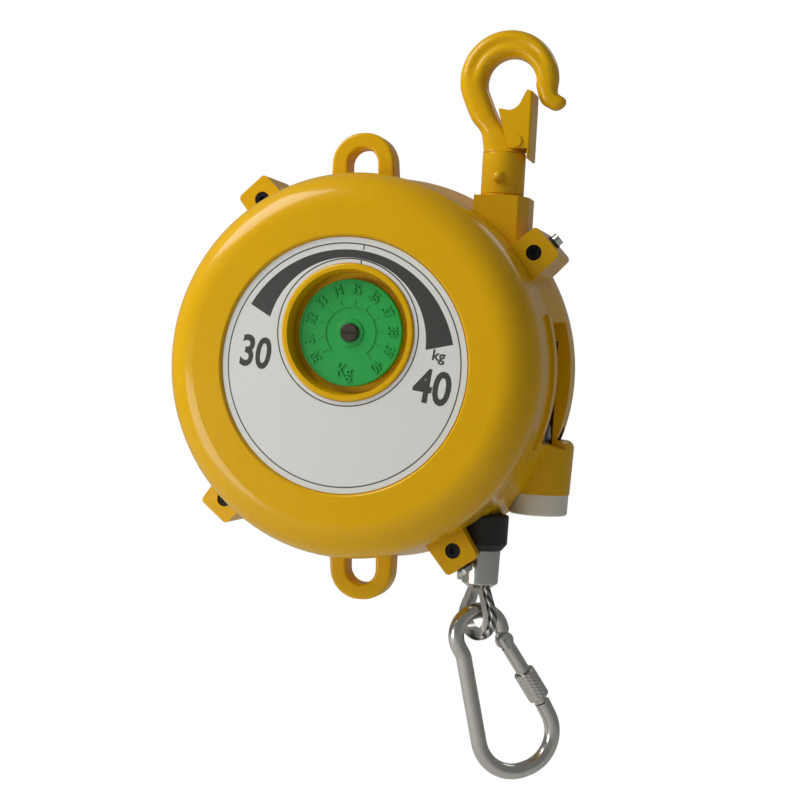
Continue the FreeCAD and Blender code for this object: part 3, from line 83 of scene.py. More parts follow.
DRUM_AXIS = Vector(joint("drum_spin")["pos_m"])
DIAL_AXIS = Vector(joint("dial_turn")["pos_m"])
HOOK_LINE = Vector(joint("case_swivel")["pos_m"])
LABEL_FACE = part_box("label_plate")[0][1]
DIAL_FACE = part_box("dial_disc")[0][1]
DIAL_LEAN = math.degrees(math.atan2(DIAL_AXIS.x - DRUM_AXIS.x, DIAL_AXIS.z - DRUM_AXIS.z))

# Label print, in mm and degrees from the drum axis: ends of the grey band, how much of its rise goes
# sideways, the marks at its top given by their middle radius and half length, and the large text.
BAND_START, BAND_END, BAND_LEAN = 13, 150.5, 0.7
MARK_ANGLE = 82.3
MARKS = ((71.8, 1.6), (62.6, 1.4))
TEXT_TURN, TEXT_BOLD = 7.0, 0.035
TEXT_DEPTH, TEXT_LIFT = 0.06, 0.02
# name, text, share of the digits' height, place to the right, place up, squeeze
LABEL_TEXT = (("label_low", "30", 1.0, -56.0, 4.2, 0.78),
              ("label_high", "40", 1.05, 56.6, -11.0, 0.84),
              ("label_unit", "kg", 0.34, 59.4, 8.6, 1.0))

# Dial figures: load range in kg, degrees between numbers, and the unit below.
LOAD_LOW, LOAD_HIGH, LOAD_STEP = 30, 40, 26.5
FIGURE_SEAT, FIGURE_SQUEEZE = 0.4, 0.72
UNIT_R, UNIT_H, UNIT_SQUEEZE = 23.4, 8.2, 0.8
TICK_FROM, TICK_TO, TICK_SEAT = 15.6, 20.2, 1.0
TICK_PROFILE = ((-0.45, 0.2), (-0.45, -0.45), (-0.25, -0.6), (0.25, -0.6), (0.45, -0.45), (0.45, 0.2))

# Hook, in mm from the hook line and the bowl's top: circles of the bowl and of the back, thickness of
# the section, and its power.
BOWL_AT, BOWL_R = (2.6, -15.7), 15.7
BACK_AT, BACK_R = (0.6, -13.9), 31.4
HOOK_T, HOOK_POWER = 18, 2.6
THIN_FROM, THIN_RATE = 40, 0.09
BOWL_ANGLES = (205, 185, 165, 145, 125, 105, 85, 65, 45, 25, 8, -8)
# inner point, outer point and thickness; the neck's heights are above the collar
NECK = ((13.2, 0.0, -13.2, 0.0, 26.4), (12.6, 0.8, -13.2, 0.8, 22.0), (11.8, 1.6, -13.2, 1.6, 18.0),
        (6.0, 10.7, -15.5, 12.7, 18.0), (-3.5, 20.8, -21.6, 20.3, 18.0))
BILL = ((21.8, -27.6, 33.0, -22.6, 11.5), (28.5, -31.9, 35.4, -24.0, 9.8))
SPAN_STEPS, ROUND_STEPS = 10, 48
TIP_LENGTH, TIP_STEPS = 4.6, 7
# flank groove: depth and width as shares of the section, and the stations it runs between
GROOVE_DEPTH, GROOVE_W, GROOVE_SIDE = 0.17, 0.3, 0.5
GROOVE_START, GROOVE_END, GROOVE_EASE = 62, 46, 12

# A wave pattern repeats once in this share of its scale.
WAVE_REPEAT = 6.28

# Stage, in metres and degrees.
FLOOR_DROP, FLOOR_HALF, SKY = 0.25, 6.0, 0.22
# name, turn round the object from the front, height angle, distance, size, power in watts
LAMPS = (("key", -58, 40, 1.5, 0.8, 15.5),
         ("front", -40, -14, 1.6, 0.7, 9.0),
         ("rim", 150, 40, 1.6, 0.6, 1.5))
EYE = Vector((0.2010, -0.9284, -0.1979))
EYE_TURN, EYE_PITCH, EYE_ROLL, EYE_ANGLE = 15.81, 1.25, 3.25, 29.885
SENSOR_W, VIEW_END = 36.0, 50.0


# ---- sizes and colours a user would change -----------------------------------------------------
def length(name, text, value):
    """A length in metres that the panel shows."""
    return bpy.props.FloatProperty(name=name, description=text, default=value, unit="LENGTH", precision=4)


def colour(name, text, value):
    """A colour as an sRGB hex code."""
    return bpy.props.StringProperty(name=name, description=text, default=value)


class BalancerSizes(bpy.types.PropertyGroup):
    outer_line_r: length("Outer line", "Radius of the label's thin outer line", 73.4 * MM)
    inner_line_r: length("Inner line", "Radius of the thin line round the dial", 44.3 * MM)
    line_w: length("Line width", "Width of the label's thin lines", 0.8 * MM)
    band_r: length("Band radius", "Outer radius of the grey band", 69.6 * MM)
    band_inner_r: length("Band inner radius", "Radius of the band's inner edge", 50.2 * MM)
    band_rise: length("Band rise", "How far the band's inner circle sits above the drum axis", 14.6 * MM)
    label_digit_h: length("Label digits", "Height of the large numbers", 18.4 * MM)
    dial_digit_h: length("Dial digits", "Height of the raised numbers", 6.4 * MM)
    dial_digit_r: length("Dial digit radius", "Radius on which the numbers stand", 26.2 * MM)
    relief: length("Relief", "How far the dial's figures stand out", 0.45 * MM)
    strand_pitch: length("Strand spacing", "Spacing of the rope's strands", 1.6 * MM)
    knurl_pitch: length("Knurl spacing", "Spacing of the sleeve's knurl", 1.1 * MM)


class BalancerColours(bpy.types.PropertyGroup):
    paint: colour("Paint", "Yellow enamel on the castings and the hook", "E3AE02")
    label: colour("Label", "Label's ground", "E2E2DC")
    ink: colour("Ink", "Label's print", "3B3B38")
    dial: colour("Dial", "Moulded dial", "17A544")
    plating: colour("Plating", "Zinc and nickel plating", "C9C7C0")
    rubber: colour("Rubber", "Buffer and washers", "1D1F1C")
    nylon: colour("Nylon", "Cap and cable guide", "E2DECF")
    bronze: colour("Bronze", "Bushes and gear wheels", "B08D57")
    alloy: colour("Alloy", "Inner castings", "A8A9A6")
    zinc: colour("Zinc", "Small zinc-plated fasteners", "B9B9B4")
    spring: colour("Spring steel", "Mainspring and lock plunger", "77797A")
    ground: colour("Ground steel", "Shaft, worm and bearings", "A2A3A2")
    dark_screw: colour("Dial screw", "Dark screw in the dial", "4B463F")
    # painted shade: near black standing in for the shade of the recesses the lug screws sit in
    oxide: colour("Black oxide", "Screws in the lugs", "1B1B1A")
    # painted shade: the dark colour mixed into the rope's valleys between its strands
    valley: colour("Rope valleys", "Dark gaps between the rope's strands", "4A4A46")
    floor: colour("Floor", "Floor and backdrop", "F4F4F2")


def sizes():
    """The sizes as set in the panel."""
    return bpy.context.scene.balancer_sizes


def colours():
    """The colours as set in the panel."""
    return bpy.context.scene.balancer_colours


# ---- materials --------------------------------------------------------------------------------
def linear(code):
    """Linear RGBA of an sRGB hex code."""
    rgb = [int(code[i:i + 2], 16) / 255 for i in (0, 2, 4)]
    return [c / 12.92 if c <= 0.04045 else ((c + 0.055) / 1.055) ** 2.4 for c in rgb] + [1.0]


def add(tree, kind, inputs=None, **settings):
    """A node with its settings, and inputs given as values or as sockets to link."""
    node = tree.nodes.new(kind)
    for key, value in settings.items():
        setattr(node, key, value)
    for key, value in (inputs or {}).items():
        if isinstance(value, bpy.types.NodeSocket):
            tree.links.new(value, node.inputs[key])
        else:
            node.inputs[key].default_value = value
    return node


def blank(name):
    """A node material with one shader and object coordinates."""
    mat = bpy.data.materials.new(name)
    mat.use_nodes = True
    tree = mat.node_tree
    tree.nodes.clear()
    shader = add(tree, "ShaderNodeBsdfPrincipled")
    add(tree, "ShaderNodeOutputMaterial", {"Surface": shader.outputs[0]})
    coords = add(tree, "ShaderNodeTexCoord").outputs["Object"]
    return mat, tree, shader, coords


def shade(tree, code, coords, size, spread):
    """The colour with slow light and dark variation over a given size."""
    noise = add(tree, "ShaderNodeTexNoise", {"Vector": coords, "Scale": 1 / size, "Detail": 3.0})
    light = [min(1, c * (1 + spread)) for c in linear(code)[:3]] + [1.0]
    dark = [c * (1 - spread) for c in linear(code)[:3]] + [1.0]
    ramp = add(tree, "ShaderNodeMix", {0: noise.outputs[0], 6: dark, 7: light}, data_type="RGBA")
    return ramp.outputs[2]


def bumped(tree, coords, size, height, strength):
    """Bump of fine grain of a real size and height."""
    grain = add(tree, "ShaderNodeTexNoise", {"Vector": coords, "Scale": 1 / size})
    return add(tree, "ShaderNodeBump", {"Height": grain.outputs[0], "Distance": height,
                                        "Strength": strength}).outputs[0]


def stoving_enamel():
    """Glossy stoved enamel on a casting: deep yellow, faint orange peel about 2 mm across, slightly
    duller patches, so highlights have soft uneven edges."""
    mat, tree, shader, coords = blank("stoving_enamel")
    tree.links.new(shade(tree, colours().paint, coords, 60 * MM, 0.04), shader.inputs["Base Color"])
    rough = add(tree, "ShaderNodeTexNoise", {"Vector": coords, "Scale": 1 / (25 * MM), "Detail": 4.0})
    span = add(tree, "ShaderNodeMapRange", {0: rough.outputs[0], 3: 0.2, 4: 0.34})
    tree.links.new(span.outputs[0], shader.inputs["Roughness"])
    tree.links.new(bumped(tree, coords, 2.4 * MM, 0.02 * MM, 0.5), shader.inputs["Normal"])
    shader.inputs["Specular IOR Level"].default_value = 0.15
    shader.inputs["Coat Weight"].default_value = 0.3
    shader.inputs["Coat Roughness"].default_value = 0.08
    return mat


def printed_label():
    """Screen-printed aluminium label: satin off-white ground with two thin grey lines and a grey band
    that is narrow at the top and wide at its ends."""
    s = sizes()
    mat, tree, shader, coords = blank("printed_label")
    split = add(tree, "ShaderNodeSeparateXYZ", {0: coords})

    def math_node(op, a, b=0.0):
        return add(tree, "ShaderNodeMath", {0: a, 1: b}, operation=op).outputs[0]

    def radius(cx, cz):
        dx = math_node("SUBTRACT", split.outputs[0], cx)
        dz = math_node("SUBTRACT", split.outputs[2], cz)
        squares = [math_node("MULTIPLY", d, d) for d in (dx, dz)]
        return math_node("SQRT", math_node("ADD", *squares))

    def within(value, limit):
        return math_node("LESS_THAN", value, limit)

    def near(value, at, half):
        return within(math_node("ABSOLUTE", math_node("SUBTRACT", value, at)), half)

    drum_r = radius(DRUM_AXIS.x, DRUM_AXIS.z)
    dial_r = radius(DIAL_AXIS.x, DIAL_AXIS.z)
    band_shift = s.band_rise * math.sin(math.radians(DIAL_LEAN)) * BAND_LEAN
    band_r = radius(DRUM_AXIS.x + band_shift, DRUM_AXIS.z + s.band_rise)
    dx = math_node("SUBTRACT", split.outputs[0], DRUM_AXIS.x)
    dz = math_node("SUBTRACT", split.outputs[2], DRUM_AXIS.z)
    angle = math_node("ARCTAN2", dz, dx)
    sector = math_node("MULTIPLY", math_node("GREATER_THAN", angle, math.radians(BAND_START)),
                       within(angle, math.radians(BAND_END)))
    outside = math_node("SUBTRACT", 1.0, within(band_r, s.band_inner_r))
    band = math_node("MULTIPLY", math_node("MULTIPLY", within(drum_r, s.band_r), outside), sector)
    off_mark = math_node("ABSOLUTE", math_node("SUBTRACT", angle, math.radians(MARK_ANGLE)))
    on_mark = within(math_node("MULTIPLY", off_mark, drum_r), s.line_w / 2)
    prints = [near(dial_r, s.inner_line_r, s.line_w / 2), band]
    prints += [math_node("MULTIPLY", on_mark, near(drum_r, r * MM, half * MM)) for r, half in MARKS]
    ink = near(drum_r, s.outer_line_r, s.line_w / 2)
    for mark in prints:
        ink = math_node("MAXIMUM", ink, mark)
    ground = shade(tree, colours().label, coords, 90 * MM, 0.02)
    mix = add(tree, "ShaderNodeMix", {0: ink, 6: ground, 7: linear(colours().ink)}, data_type="RGBA")
    tree.links.new(mix.outputs[2], shader.inputs["Base Color"])
    tree.links.new(bumped(tree, coords, 0.8 * MM, 0.005 * MM, 0.3), shader.inputs["Normal"])
    shader.inputs["Roughness"].default_value = 0.42
    return mat


def print_ink():
    """Screen ink: matt dark grey."""
    mat, tree, shader, coords = blank("screen_ink")
    tree.links.new(shade(tree, colours().ink, coords, 8 * MM, 0.05), shader.inputs["Base Color"])
    shader.inputs["Roughness"].default_value = 0.6
    return mat


def moulded_plastic(name, code, rough, grain=0.5 * MM):
    """Injection-moulded plastic: even colour, satin skin with a very fine spark-eroded grain."""
    mat, tree, shader, coords = blank(name)
    tree.links.new(shade(tree, code, coords, 20 * MM, 0.05), shader.inputs["Base Color"])
    tree.links.new(bumped(tree, coords, grain, 0.02 * MM, 0.4), shader.inputs["Normal"])
    shader.inputs["Roughness"].default_value = rough
    return mat


def plated_steel(name, code, rough, spread=0.08):
    """Bright zinc or nickel on steel: grey mirror softened by drawing marks along the wire."""
    mat, tree, shader, coords = blank(name)
    tree.links.new(shade(tree, code, coords, 9 * MM, spread), shader.inputs["Base Color"])
    streak = add(tree, "ShaderNodeMapping", {"Vector": coords, "Scale": (1.0, 1.0, 0.15)})
    noise = add(tree, "ShaderNodeTexNoise",
                {"Vector": streak.outputs[0], "Scale": 1 / (1.2 * MM), "Detail": 3.0})
    span = add(tree, "ShaderNodeMapRange", {0: noise.outputs[0], 3: rough * 0.8, 4: rough * 1.35})
    tree.links.new(span.outputs[0], shader.inputs["Roughness"])
    bump = add(tree, "ShaderNodeBump", {"Height": noise.outputs[0], "Distance": 0.01 * MM, "Strength": 0.4})
    tree.links.new(bump.outputs[0], shader.inputs["Normal"])
    shader.inputs["Metallic"].default_value = 1.0
    return mat


def wire_rope():
    """Galvanised wire rope: strands laid on a slant, with painted shade darkening the valleys between them.
    """
    mat, tree, shader, coords = blank("galvanised_rope")
    wave = add(tree, "ShaderNodeTexWave", {"Vector": coords, "Scale": 1 / sizes().strand_pitch / WAVE_REPEAT,
                                           "Distortion": 0.4}, bands_direction="DIAGONAL")
    # painted shade: the rope's colour darkens towards the valleys between the strands
    mix = add(tree, "ShaderNodeMix", {0: wave.outputs[1], 6: linear(colours().valley),
                                      7: linear(colours().plating)}, data_type="RGBA")
    tree.links.new(mix.outputs[2], shader.inputs["Base Color"])
    bump = add(tree, "ShaderNodeBump", {"Height": wave.outputs[1], "Distance": 0.4 * MM, "Strength": 0.8})
    tree.links.new(bump.outputs[0], shader.inputs["Normal"])
    shader.inputs["Metallic"].default_value = 1.0
    shader.inputs["Roughness"].default_value = 0.38
    return mat


def knurled_steel():
    """Nickel-plated sleeve: crossed knurling about 1 mm apart catches the light as small diamonds."""
    mat, tree, shader, coords = blank("knurled_steel")
    scale = 1 / sizes().knurl_pitch / WAVE_REPEAT
    waves = [add(tree, "ShaderNodeTexWave", {"Vector": coords, "Scale": scale},
                 bands_direction=d).outputs[1] for d in ("DIAGONAL", "Z")]
    both = add(tree, "ShaderNodeMath", {0: waves[0], 1: waves[1]}, operation="MULTIPLY").outputs[0]
    bump = add(tree, "ShaderNodeBump", {"Height": both, "Distance": 0.35 * MM, "Strength": 0.8})
    tree.links.new(shade(tree, colours().plating, coords, 6 * MM, 0.1), shader.inputs["Base Color"])
    tree.links.new(bump.outputs[0], shader.inputs["Normal"])
    shader.inputs["Metallic"].default_value = 1.0
    shader.inputs["Roughness"].default_value = 0.26
    return mat


def black_oxide():
    """Screw heads in the lugs: near black as painted shade of the recesses they sit in, with a dull oil
    sheen.
    """
    mat, tree, shader, coords = blank("black_oxide")
    # painted shade: the near-black base colour stands in for the shade of the screws' recesses
    tree.links.new(shade(tree, colours().oxide, coords, 3 * MM, 0.1), shader.inputs["Base Color"])
    shader.inputs["Metallic"].default_value = 0.7
    shader.inputs["Roughness"].default_value = 0.45
    return mat


def vulcanised_rubber():
    """Moulded black rubber: matt, dusty grey on its edges."""
    mat, tree, shader, coords = blank("vulcanised_rubber")
    tree.links.new(shade(tree, colours().rubber, coords, 6 * MM, 0.25), shader.inputs["Base Color"])
    tree.links.new(bumped(tree, coords, 0.7 * MM, 0.03 * MM, 0.5), shader.inputs["Normal"])
    shader.inputs["Roughness"].default_value = 0.55
    return mat


def wear(material, *nodes):
    """Give CAD nodes a finish in all their slots."""
    for name in nodes:
        for slot in frame["nodes"][name].material_slots:
            slot.link = "OBJECT"
            slot.material = material


# ---- new surfaces -----------------------------------------------------------------------------
def surface(name, points, loop_u=False, loop_v=False):
    """Quad mesh over a grid of points [u, v, xyz], closed round u or v where asked."""
    nu, nv = points.shape[:2]
    iu = np.arange(nu if loop_u else nu - 1)
    iv = np.arange(nv if loop_v else nv - 1)
    a, b = np.meshgrid(iu, iv, indexing="ij")
    c, d = (a + 1) % nu, (b + 1) % nv
    quads = np.stack([a * nv + b, c * nv + b, c * nv + d, a * nv + d], axis=-1).reshape(-1, 4)
    mesh = bpy.data.meshes.new(name)
    mesh.from_pydata(points.reshape(-1, 3).tolist(), [], quads.tolist())
    mesh.polygons.foreach_set("use_smooth", [True] * len(mesh.polygons))
    obj = bpy.data.objects.new(name, mesh)
    bpy.context.collection.objects.link(obj)
    return obj


def closed_outward(obj):
    """Merge seams and poles, then face every polygon outwards."""
    bm = bmesh.new()
    bm.from_mesh(obj.data)
    bmesh.ops.remove_doubles(bm, verts=bm.verts, dist=1e-6)
    bmesh.ops.recalc_face_normals(bm, faces=bm.faces)
    bm.to_mesh(obj.data)
    bm.free()


def smooth_through(stations, steps):
    """Points on a curve through the stations: each span blends the two neighbouring parabolas
    (Catmull-Rom weights of the four nearest stations)."""
    p = np.vstack([2 * stations[0] - stations[1], stations, 2 * stations[-1] - stations[-2]])
    t = np.linspace(0, 1, steps, endpoint=False)[:, None]
    spans = [0.5 * (2 * p[i] + (p[i + 1] - p[i - 1]) * t
                    + (2 * p[i - 1] - 5 * p[i] + 4 * p[i + 1] - p[i + 2]) * t ** 2
                    + (3 * p[i] - p[i - 1] - 3 * p[i + 1] + p[i + 2]) * t ** 3)
             for i in range(1, len(p) - 2)]
    return np.vstack(spans + [p[-2][None]])


def lettering(name, text, height, squeeze, weight, where, turn, depth, material, body, lift):
    """Text as a mesh standing on a plane that faces -Y, turned clockwise by turn degrees."""
    curve = bpy.data.curves.new(name, "FONT")
    curve.body = text
    curve.size = height / 0.7
    curve.offset = weight
    curve.extrude = depth / 2
    curve.align_x, curve.align_y = "CENTER", "CENTER"
    curve.resolution_u = 4
    obj = bpy.data.objects.new(name, curve)
    bpy.context.collection.objects.link(obj)
    mesh = bpy.data.meshes.new_from_object(obj)
    bpy.data.objects.remove(obj)
    place = (Matrix.Translation(where + Vector((0, -depth / 2 + lift, 0)))
             @ Matrix.Rotation(math.radians(turn), 4, "Y")
             @ Matrix.Rotation(math.radians(90), 4, "X") @ Matrix.Diagonal((squeeze, 1, 1, 1)))
    mesh.transform(place)
    mesh.materials.clear()
    mesh.materials.append(material)
    made = bpy.data.objects.new(name, mesh)
    bpy.context.collection.objects.link(made)
    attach(made, body)
    return made


# ---- operators --------------------------------------------------------------------------------
class BALANCER_OT_castings(bpy.types.Operator):
    """Enamel the case, the hook, its collar and its latch"""
    bl_idname = "balancer.castings"
    bl_label = "Enamel the castings"

    def execute(self, context):
        paint = stoving_enamel()
        wear(paint, "front_cover", "rear_case", "hook_collar", "collar_pin", "hook_latch", "latch_pin",
             "thrust_washer")
        hook = forged_hook()
        hook.data.materials.append(paint)
        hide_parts("top_hook")
        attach(hook, "hook")
        return {"FINISHED"}


def forged_hook():
    """Rounded section carried from the neck round the bowl to the bill.

    Each station has an inner and an outer point and a thickness.  In the bowl the inner point lies on
    the bowl's circle and the outer one on the back's larger, shifted circle.  The section is a
    superellipse (power 2.6) and a shallow groove runs along both flanks.
    """
    bowl, back = np.array(BOWL_AT), np.array(BACK_AT)
    neck_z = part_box("hook_collar")[1][2] / MM
    rows = [[x1, neck_z + z1, x2, neck_z + z2, t] for x1, z1, x2, z2, t in NECK]
    for deg in BOWL_ANGLES:
        d = np.array([math.cos(math.radians(deg)), math.sin(math.radians(deg))])
        g = bowl - back
        reach = -g @ d + math.sqrt((g @ d) ** 2 - g @ g + BACK_R ** 2)
        thick = HOOK_T - max(0, THIN_FROM - deg) * THIN_RATE
        rows.append([*(bowl + d * BOWL_R), *(bowl + d * reach), thick])
    rows += [list(row) for row in BILL]
    rows = np.array(rows) * MM
    rows[:, (0, 2)] += HOOK_LINE.x
    path = smooth_through(rows, SPAN_STEPS)
    tip = path[-1]
    along = path[-1, :2] + path[-1, 2:4] - path[-5, :2] - path[-5, 2:4]
    along = along / np.linalg.norm(along)
    cap = []
    for k in range(1, TIP_STEPS + 1):
        a = math.pi / 2 * k / TIP_STEPS
        mid = (tip[:2] + tip[2:4]) / 2 + along * math.sin(a) * TIP_LENGTH * MM
        half = (tip[:2] - tip[2:4]) / 2 * math.cos(a)
        cap.append([*(mid + half), *(mid - half), tip[4] * math.cos(a)])
    path = np.vstack([path, cap])
    inner, outer, depth = path[:, 0:2], path[:, 2:4], path[:, 4]
    ang = np.linspace(0, 2 * np.pi, ROUND_STEPS, endpoint=False)
    c, s = np.cos(ang), np.sin(ang)
    round_off = (np.abs(c) ** HOOK_POWER + np.abs(s) ** HOOK_POWER) ** (-1 / HOOK_POWER)
    u, v = c * round_off, s * round_off
    mid, half = (inner + outer) / 2, (outer - inner) / 2
    n = len(path)
    at = np.arange(n)
    ramp = np.clip(np.minimum(at - GROOVE_START, n - GROOVE_END - at) / GROOVE_EASE, 0, 1)
    across = np.exp(-(u / GROOVE_W) ** 2) * (np.abs(v) > GROOVE_SIDE)
    groove = 1 - GROOVE_DEPTH * ramp[:, None] * across[None, :]
    pts = np.zeros((n, len(ang), 3))
    pts[:, :, 0] = mid[:, 0:1] + half[:, 0:1] * u
    pts[:, :, 2] = mid[:, 1:2] + half[:, 1:2] * u
    pts[:, :, 1] = depth[:, None] / 2 * v * groove
    obj = surface("forged_hook", pts, loop_v=True)
    bm = bmesh.new()
    bm.from_mesh(obj.data)
    bmesh.ops.holes_fill(bm, edges=bm.edges)
    bm.to_mesh(obj.data)
    bm.free()
    closed_outward(obj)
    return obj


class BALANCER_OT_label(bpy.types.Operator):
    """Print the label: lines, band and the load range"""
    bl_idname = "balancer.label"
    bl_label = "Print the label"

    def execute(self, context):
        wear(printed_label(), "label_plate")
        ink = print_ink()
        for name, text, share, dx, dz, squeeze in LABEL_TEXT:
            height = sizes().label_digit_h * share
            where = Vector((DRUM_AXIS.x + dx * MM, LABEL_FACE, DRUM_AXIS.z + dz * MM))
            made = lettering(name, text, height, squeeze, TEXT_BOLD * height, where, TEXT_TURN,
                             TEXT_DEPTH * MM, ink, "case", TEXT_LIFT * MM)
        return {"FINISHED"}


class BALANCER_OT_dial(bpy.types.Operator):
    """Mould the dial's raised numbers and ticks"""
    bl_idname = "balancer.dial"
    bl_label = "Mould the dial"

    def execute(self, context):
        s = sizes()
        plastic = moulded_plastic("moulded_green", colours().dial, 0.38)
        wear(plastic, "dial_disc")
        face = Vector((DIAL_AXIS.x, DIAL_FACE + FIGURE_SEAT * MM, DIAL_AXIS.z))
        for value in range(LOAD_LOW, LOAD_HIGH + 1):
            lean = DIAL_LEAN + LOAD_STEP * (value - (LOAD_LOW + LOAD_HIGH) / 2)
            a = math.radians(90 - lean)
            out = Vector((math.cos(a), 0, math.sin(a)))
            made = lettering("dial_%d" % value, str(value), s.dial_digit_h, FIGURE_SQUEEZE, 0.0,
                             face + out * s.dial_digit_r, lean, 2 * s.relief, plastic, "dial", s.relief)
            tick = dial_tick(out, a)
            tick.data.materials.append(plastic)
            tick.name = tick.data.name = "dial_tick_%d" % value
            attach(tick, "dial")
        down = Vector((-math.sin(math.radians(DIAL_LEAN)), 0, -math.cos(math.radians(DIAL_LEAN))))
        unit = lettering("dial_unit", "Kg", UNIT_H * MM, UNIT_SQUEEZE, 0.0, face + down * UNIT_R * MM,
                         DIAL_LEAN, 2 * s.relief, plastic, "dial", s.relief)
        return {"FINISHED"}


def dial_tick(out, angle):
    """Small raised bar along the dial's radius: a chamfered profile carried straight outwards."""
    side = Vector((-math.sin(angle), 0, math.cos(angle)))
    base = Vector((DIAL_AXIS.x, DIAL_FACE + TICK_SEAT * MM, DIAL_AXIS.z))
    rows = [[base + out * r * MM + side * w * MM + Vector((0, h * MM, 0)) for w, h in TICK_PROFILE]
            for r in (TICK_FROM, TICK_FROM, TICK_TO, TICK_TO)]
    for row in (rows[0], rows[-1]):
        centre = sum(row, Vector()) / len(row)
        row[:] = [centre] * len(row)
    obj = surface("dial_tick", np.array([[list(p) for p in row] for row in rows]), loop_v=True)
    obj.data.polygons.foreach_set("use_smooth", [False] * len(obj.data.polygons))
    closed_outward(obj)
    return obj


class BALANCER_OT_fittings(bpy.types.Operator):
    """Plate, rubber and nylon for the fittings, with painted shade on the lug screws"""
    bl_idname = "balancer.fittings"
    bl_label = "Finish the fittings"

    def execute(self, context):
        c = colours()
        bright = plated_steel("nickel_plate", c.plating, 0.2)
        zinc = plated_steel("zinc_plate", c.zinc, 0.32)
        wear(bright, "carabiner_body", "carabiner_gate", "gate_pin", "flank_screws", "ferrule", "thimble")
        wear(zinc, "clamp_screw", "hook_nut", "latch_spring", "spring_pin", "wheel_key",
             "arbor_key", "bridge_screws")
        wear(plated_steel("spring_steel", c.spring, 0.35), "mainspring", "lock_pin")
        wear(plated_steel("ground_steel", c.ground, 0.25), "main_shaft", "worm", "spring_arbor",
             "front_bearing", "rear_bearing")
        wear(plated_steel("cast_alloy", c.alloy, 0.5), "drum", "spring_cover", "gear_bridge")
        wear(plated_steel("sintered_bronze", c.bronze, 0.4), "front_bush", "rear_bush", "worm_bush",
             "worm_wheel", "dial_gear")
        # the lug screws get near black as painted shade of their recesses
        wear(black_oxide(), "cover_screws")
        wear(plated_steel("dark_screw", c.dark_screw, 0.42, 0.2), "dial_screw")
        wear(vulcanised_rubber(), "rubber_buffer", "flank_washers")
        wear(moulded_plastic("moulded_nylon", c.nylon, 0.45, 1.2 * MM), "adjuster_cap", "cable_guide")
        wear(wire_rope(), "cable_wound", "cable_run", "cable_eye")
        wear(knurled_steel(), "screw_sleeve")
        return {"FINISHED"}


class BALANCER_OT_stage(bpy.types.Operator):
    """Floor, soft lamps and camera"""
    bl_idname = "balancer.stage"
    bl_label = "Set the stage"

    def execute(self, context):
        scene = context.scene
        floor_z = cad_box[0][2] - FLOOR_DROP
        sides = (-FLOOR_HALF, FLOOR_HALF)
        floor = surface("floor", np.array([[[x, y, floor_z] for y in sides] for x in sides]))
        floor.data.materials.append(floor_paint())
        world = bpy.data.worlds.new("studio")
        scene.world = world
        world.use_nodes = True
        tree = world.node_tree
        tree.nodes.clear()
        rays = add(tree, "ShaderNodeLightPath")
        seen = add(tree, "ShaderNodeMath", {0: rays.outputs["Is Camera Ray"],
                                            1: rays.outputs["Is Transmission Ray"]}, operation="MAXIMUM")
        soft = add(tree, "ShaderNodeBackground", {0: linear("FFFFFF"), 1: SKY})
        white = add(tree, "ShaderNodeBackground", {0: linear("FFFFFF"), 1: 1.0})
        mix = add(tree, "ShaderNodeMixShader", {0: seen.outputs[0], 1: soft.outputs[0], 2: white.outputs[0]})
        add(tree, "ShaderNodeOutputWorld", {0: mix.outputs[0]})
        target = (Vector(cad_box[0]) + Vector(cad_box[1])) / 2
        for settings in LAMPS:
            lamp(target, *settings)
        turn, pitch, roll = (math.radians(a) for a in (EYE_TURN, EYE_PITCH, EYE_ROLL))
        back = Vector((math.sin(turn) * math.cos(pitch), -math.cos(turn) * math.cos(pitch), math.sin(pitch)))
        flat = Vector((math.cos(turn), math.sin(turn), 0))
        rise = back.cross(flat)
        right = math.cos(roll) * flat + math.sin(roll) * rise
        up = -math.sin(roll) * flat + math.cos(roll) * rise
        data = bpy.data.cameras.new("camera")
        data.sensor_width = SENSOR_W
        data.angle = math.radians(EYE_ANGLE)
        data.clip_end = VIEW_END
        camera = bpy.data.objects.new("camera", data)
        camera.matrix_world = Matrix([[right[i], up[i], back[i], EYE[i]] for i in range(3)] + [[0, 0, 0, 1]])
        bpy.context.collection.objects.link(camera)
        scene.camera = camera
        scene.view_settings.view_transform = "Standard"
        return {"FINISHED"}


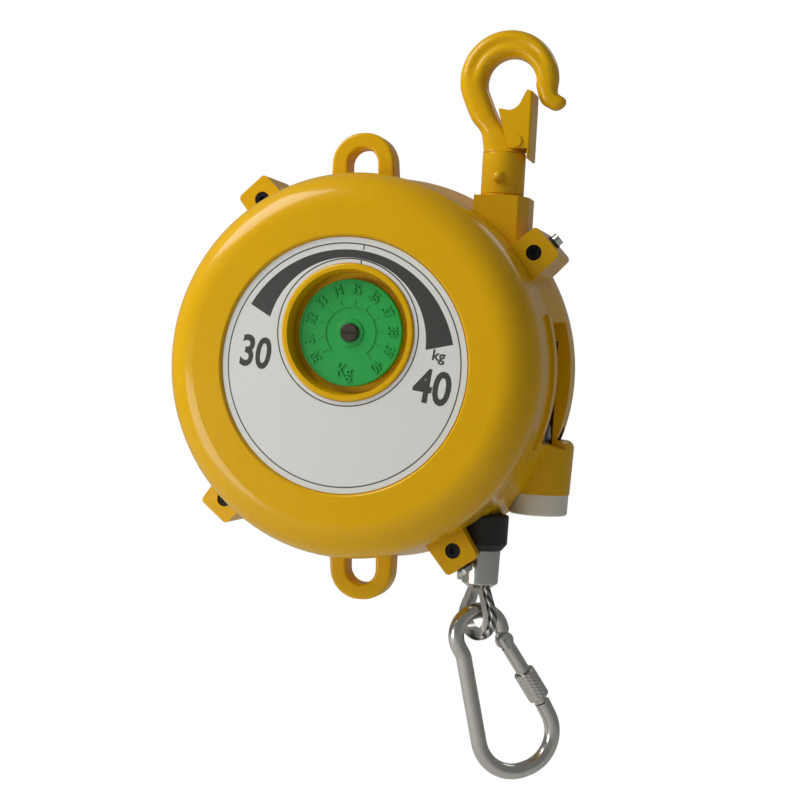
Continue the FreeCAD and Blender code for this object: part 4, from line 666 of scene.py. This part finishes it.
def floor_paint():
    """Matt white paper: seen directly it is as white as the background."""
    mat = bpy.data.materials.new("white_paper")
    mat.use_nodes = True
    tree = mat.node_tree
    tree.nodes.clear()
    coords = add(tree, "ShaderNodeTexCoord").outputs["Object"]
    paper = add(tree, "ShaderNodeBsdfDiffuse", {0: shade(tree, colours().floor, coords, 0.4, 0.01)})
    glow = add(tree, "ShaderNodeEmission", {0: linear("FFFFFF"), 1: 1.0})
    rays = add(tree, "ShaderNodeLightPath")
    mix = add(tree, "ShaderNodeMixShader", {0: rays.outputs["Is Camera Ray"], 1: paper.outputs[0],
                                            2: glow.outputs[0]})
    add(tree, "ShaderNodeOutputMaterial", {0: mix.outputs[0]})
    return mat


def lamp(target, name, azimuth, elevation, distance, size, power):
    """Square soft lamp aimed at the object, placed by angles round it (0 is in front)."""
    a, e = math.radians(azimuth), math.radians(elevation)
    away = Vector((math.sin(a) * math.cos(e), -math.cos(a) * math.cos(e), math.sin(e)))
    data = bpy.data.lights.new(name, "AREA")
    data.size = size
    data.energy = power
    obj = bpy.data.objects.new(name, data)
    facing = away.to_track_quat("Z", "Y").to_matrix().to_4x4()
    obj.matrix_world = Matrix.Translation(target + away * distance) @ facing
    bpy.context.collection.objects.link(obj)


class BALANCER_PT_panel(bpy.types.Panel):
    """Sizes, colours and the steps in order"""
    bl_idname = "BALANCER_PT_panel"
    bl_label = "Tool balancer"
    bl_space_type = "VIEW_3D"
    bl_region_type = "UI"
    bl_category = "Balancer"

    def draw(self, context):
        for group in (context.scene.balancer_sizes, context.scene.balancer_colours):
            box = self.layout.box()
            for key in group.__annotations__:
                box.prop(group, key)
        for step in STEPS:
            self.layout.operator(step.bl_idname)


STEPS = (BALANCER_OT_castings, BALANCER_OT_label, BALANCER_OT_dial, BALANCER_OT_fittings, BALANCER_OT_stage)
CLASSES = (BalancerSizes, BalancerColours) + STEPS + (BALANCER_PT_panel,)


def register():
    for cls in CLASSES:
        bpy.utils.register_class(cls)
    bpy.types.Scene.balancer_sizes = bpy.props.PointerProperty(type=BalancerSizes)
    bpy.types.Scene.balancer_colours = bpy.props.PointerProperty(type=BalancerColours)


def unregister():
    del bpy.types.Scene.balancer_sizes
    del bpy.types.Scene.balancer_colours
    for cls in reversed(CLASSES):
        bpy.utils.unregister_class(cls)


def main():
    register()
    for step in STEPS:
        group, action = step.bl_idname.split(".")
        getattr(getattr(bpy.ops, group), action)()


if __name__ == "__main__":
    main()
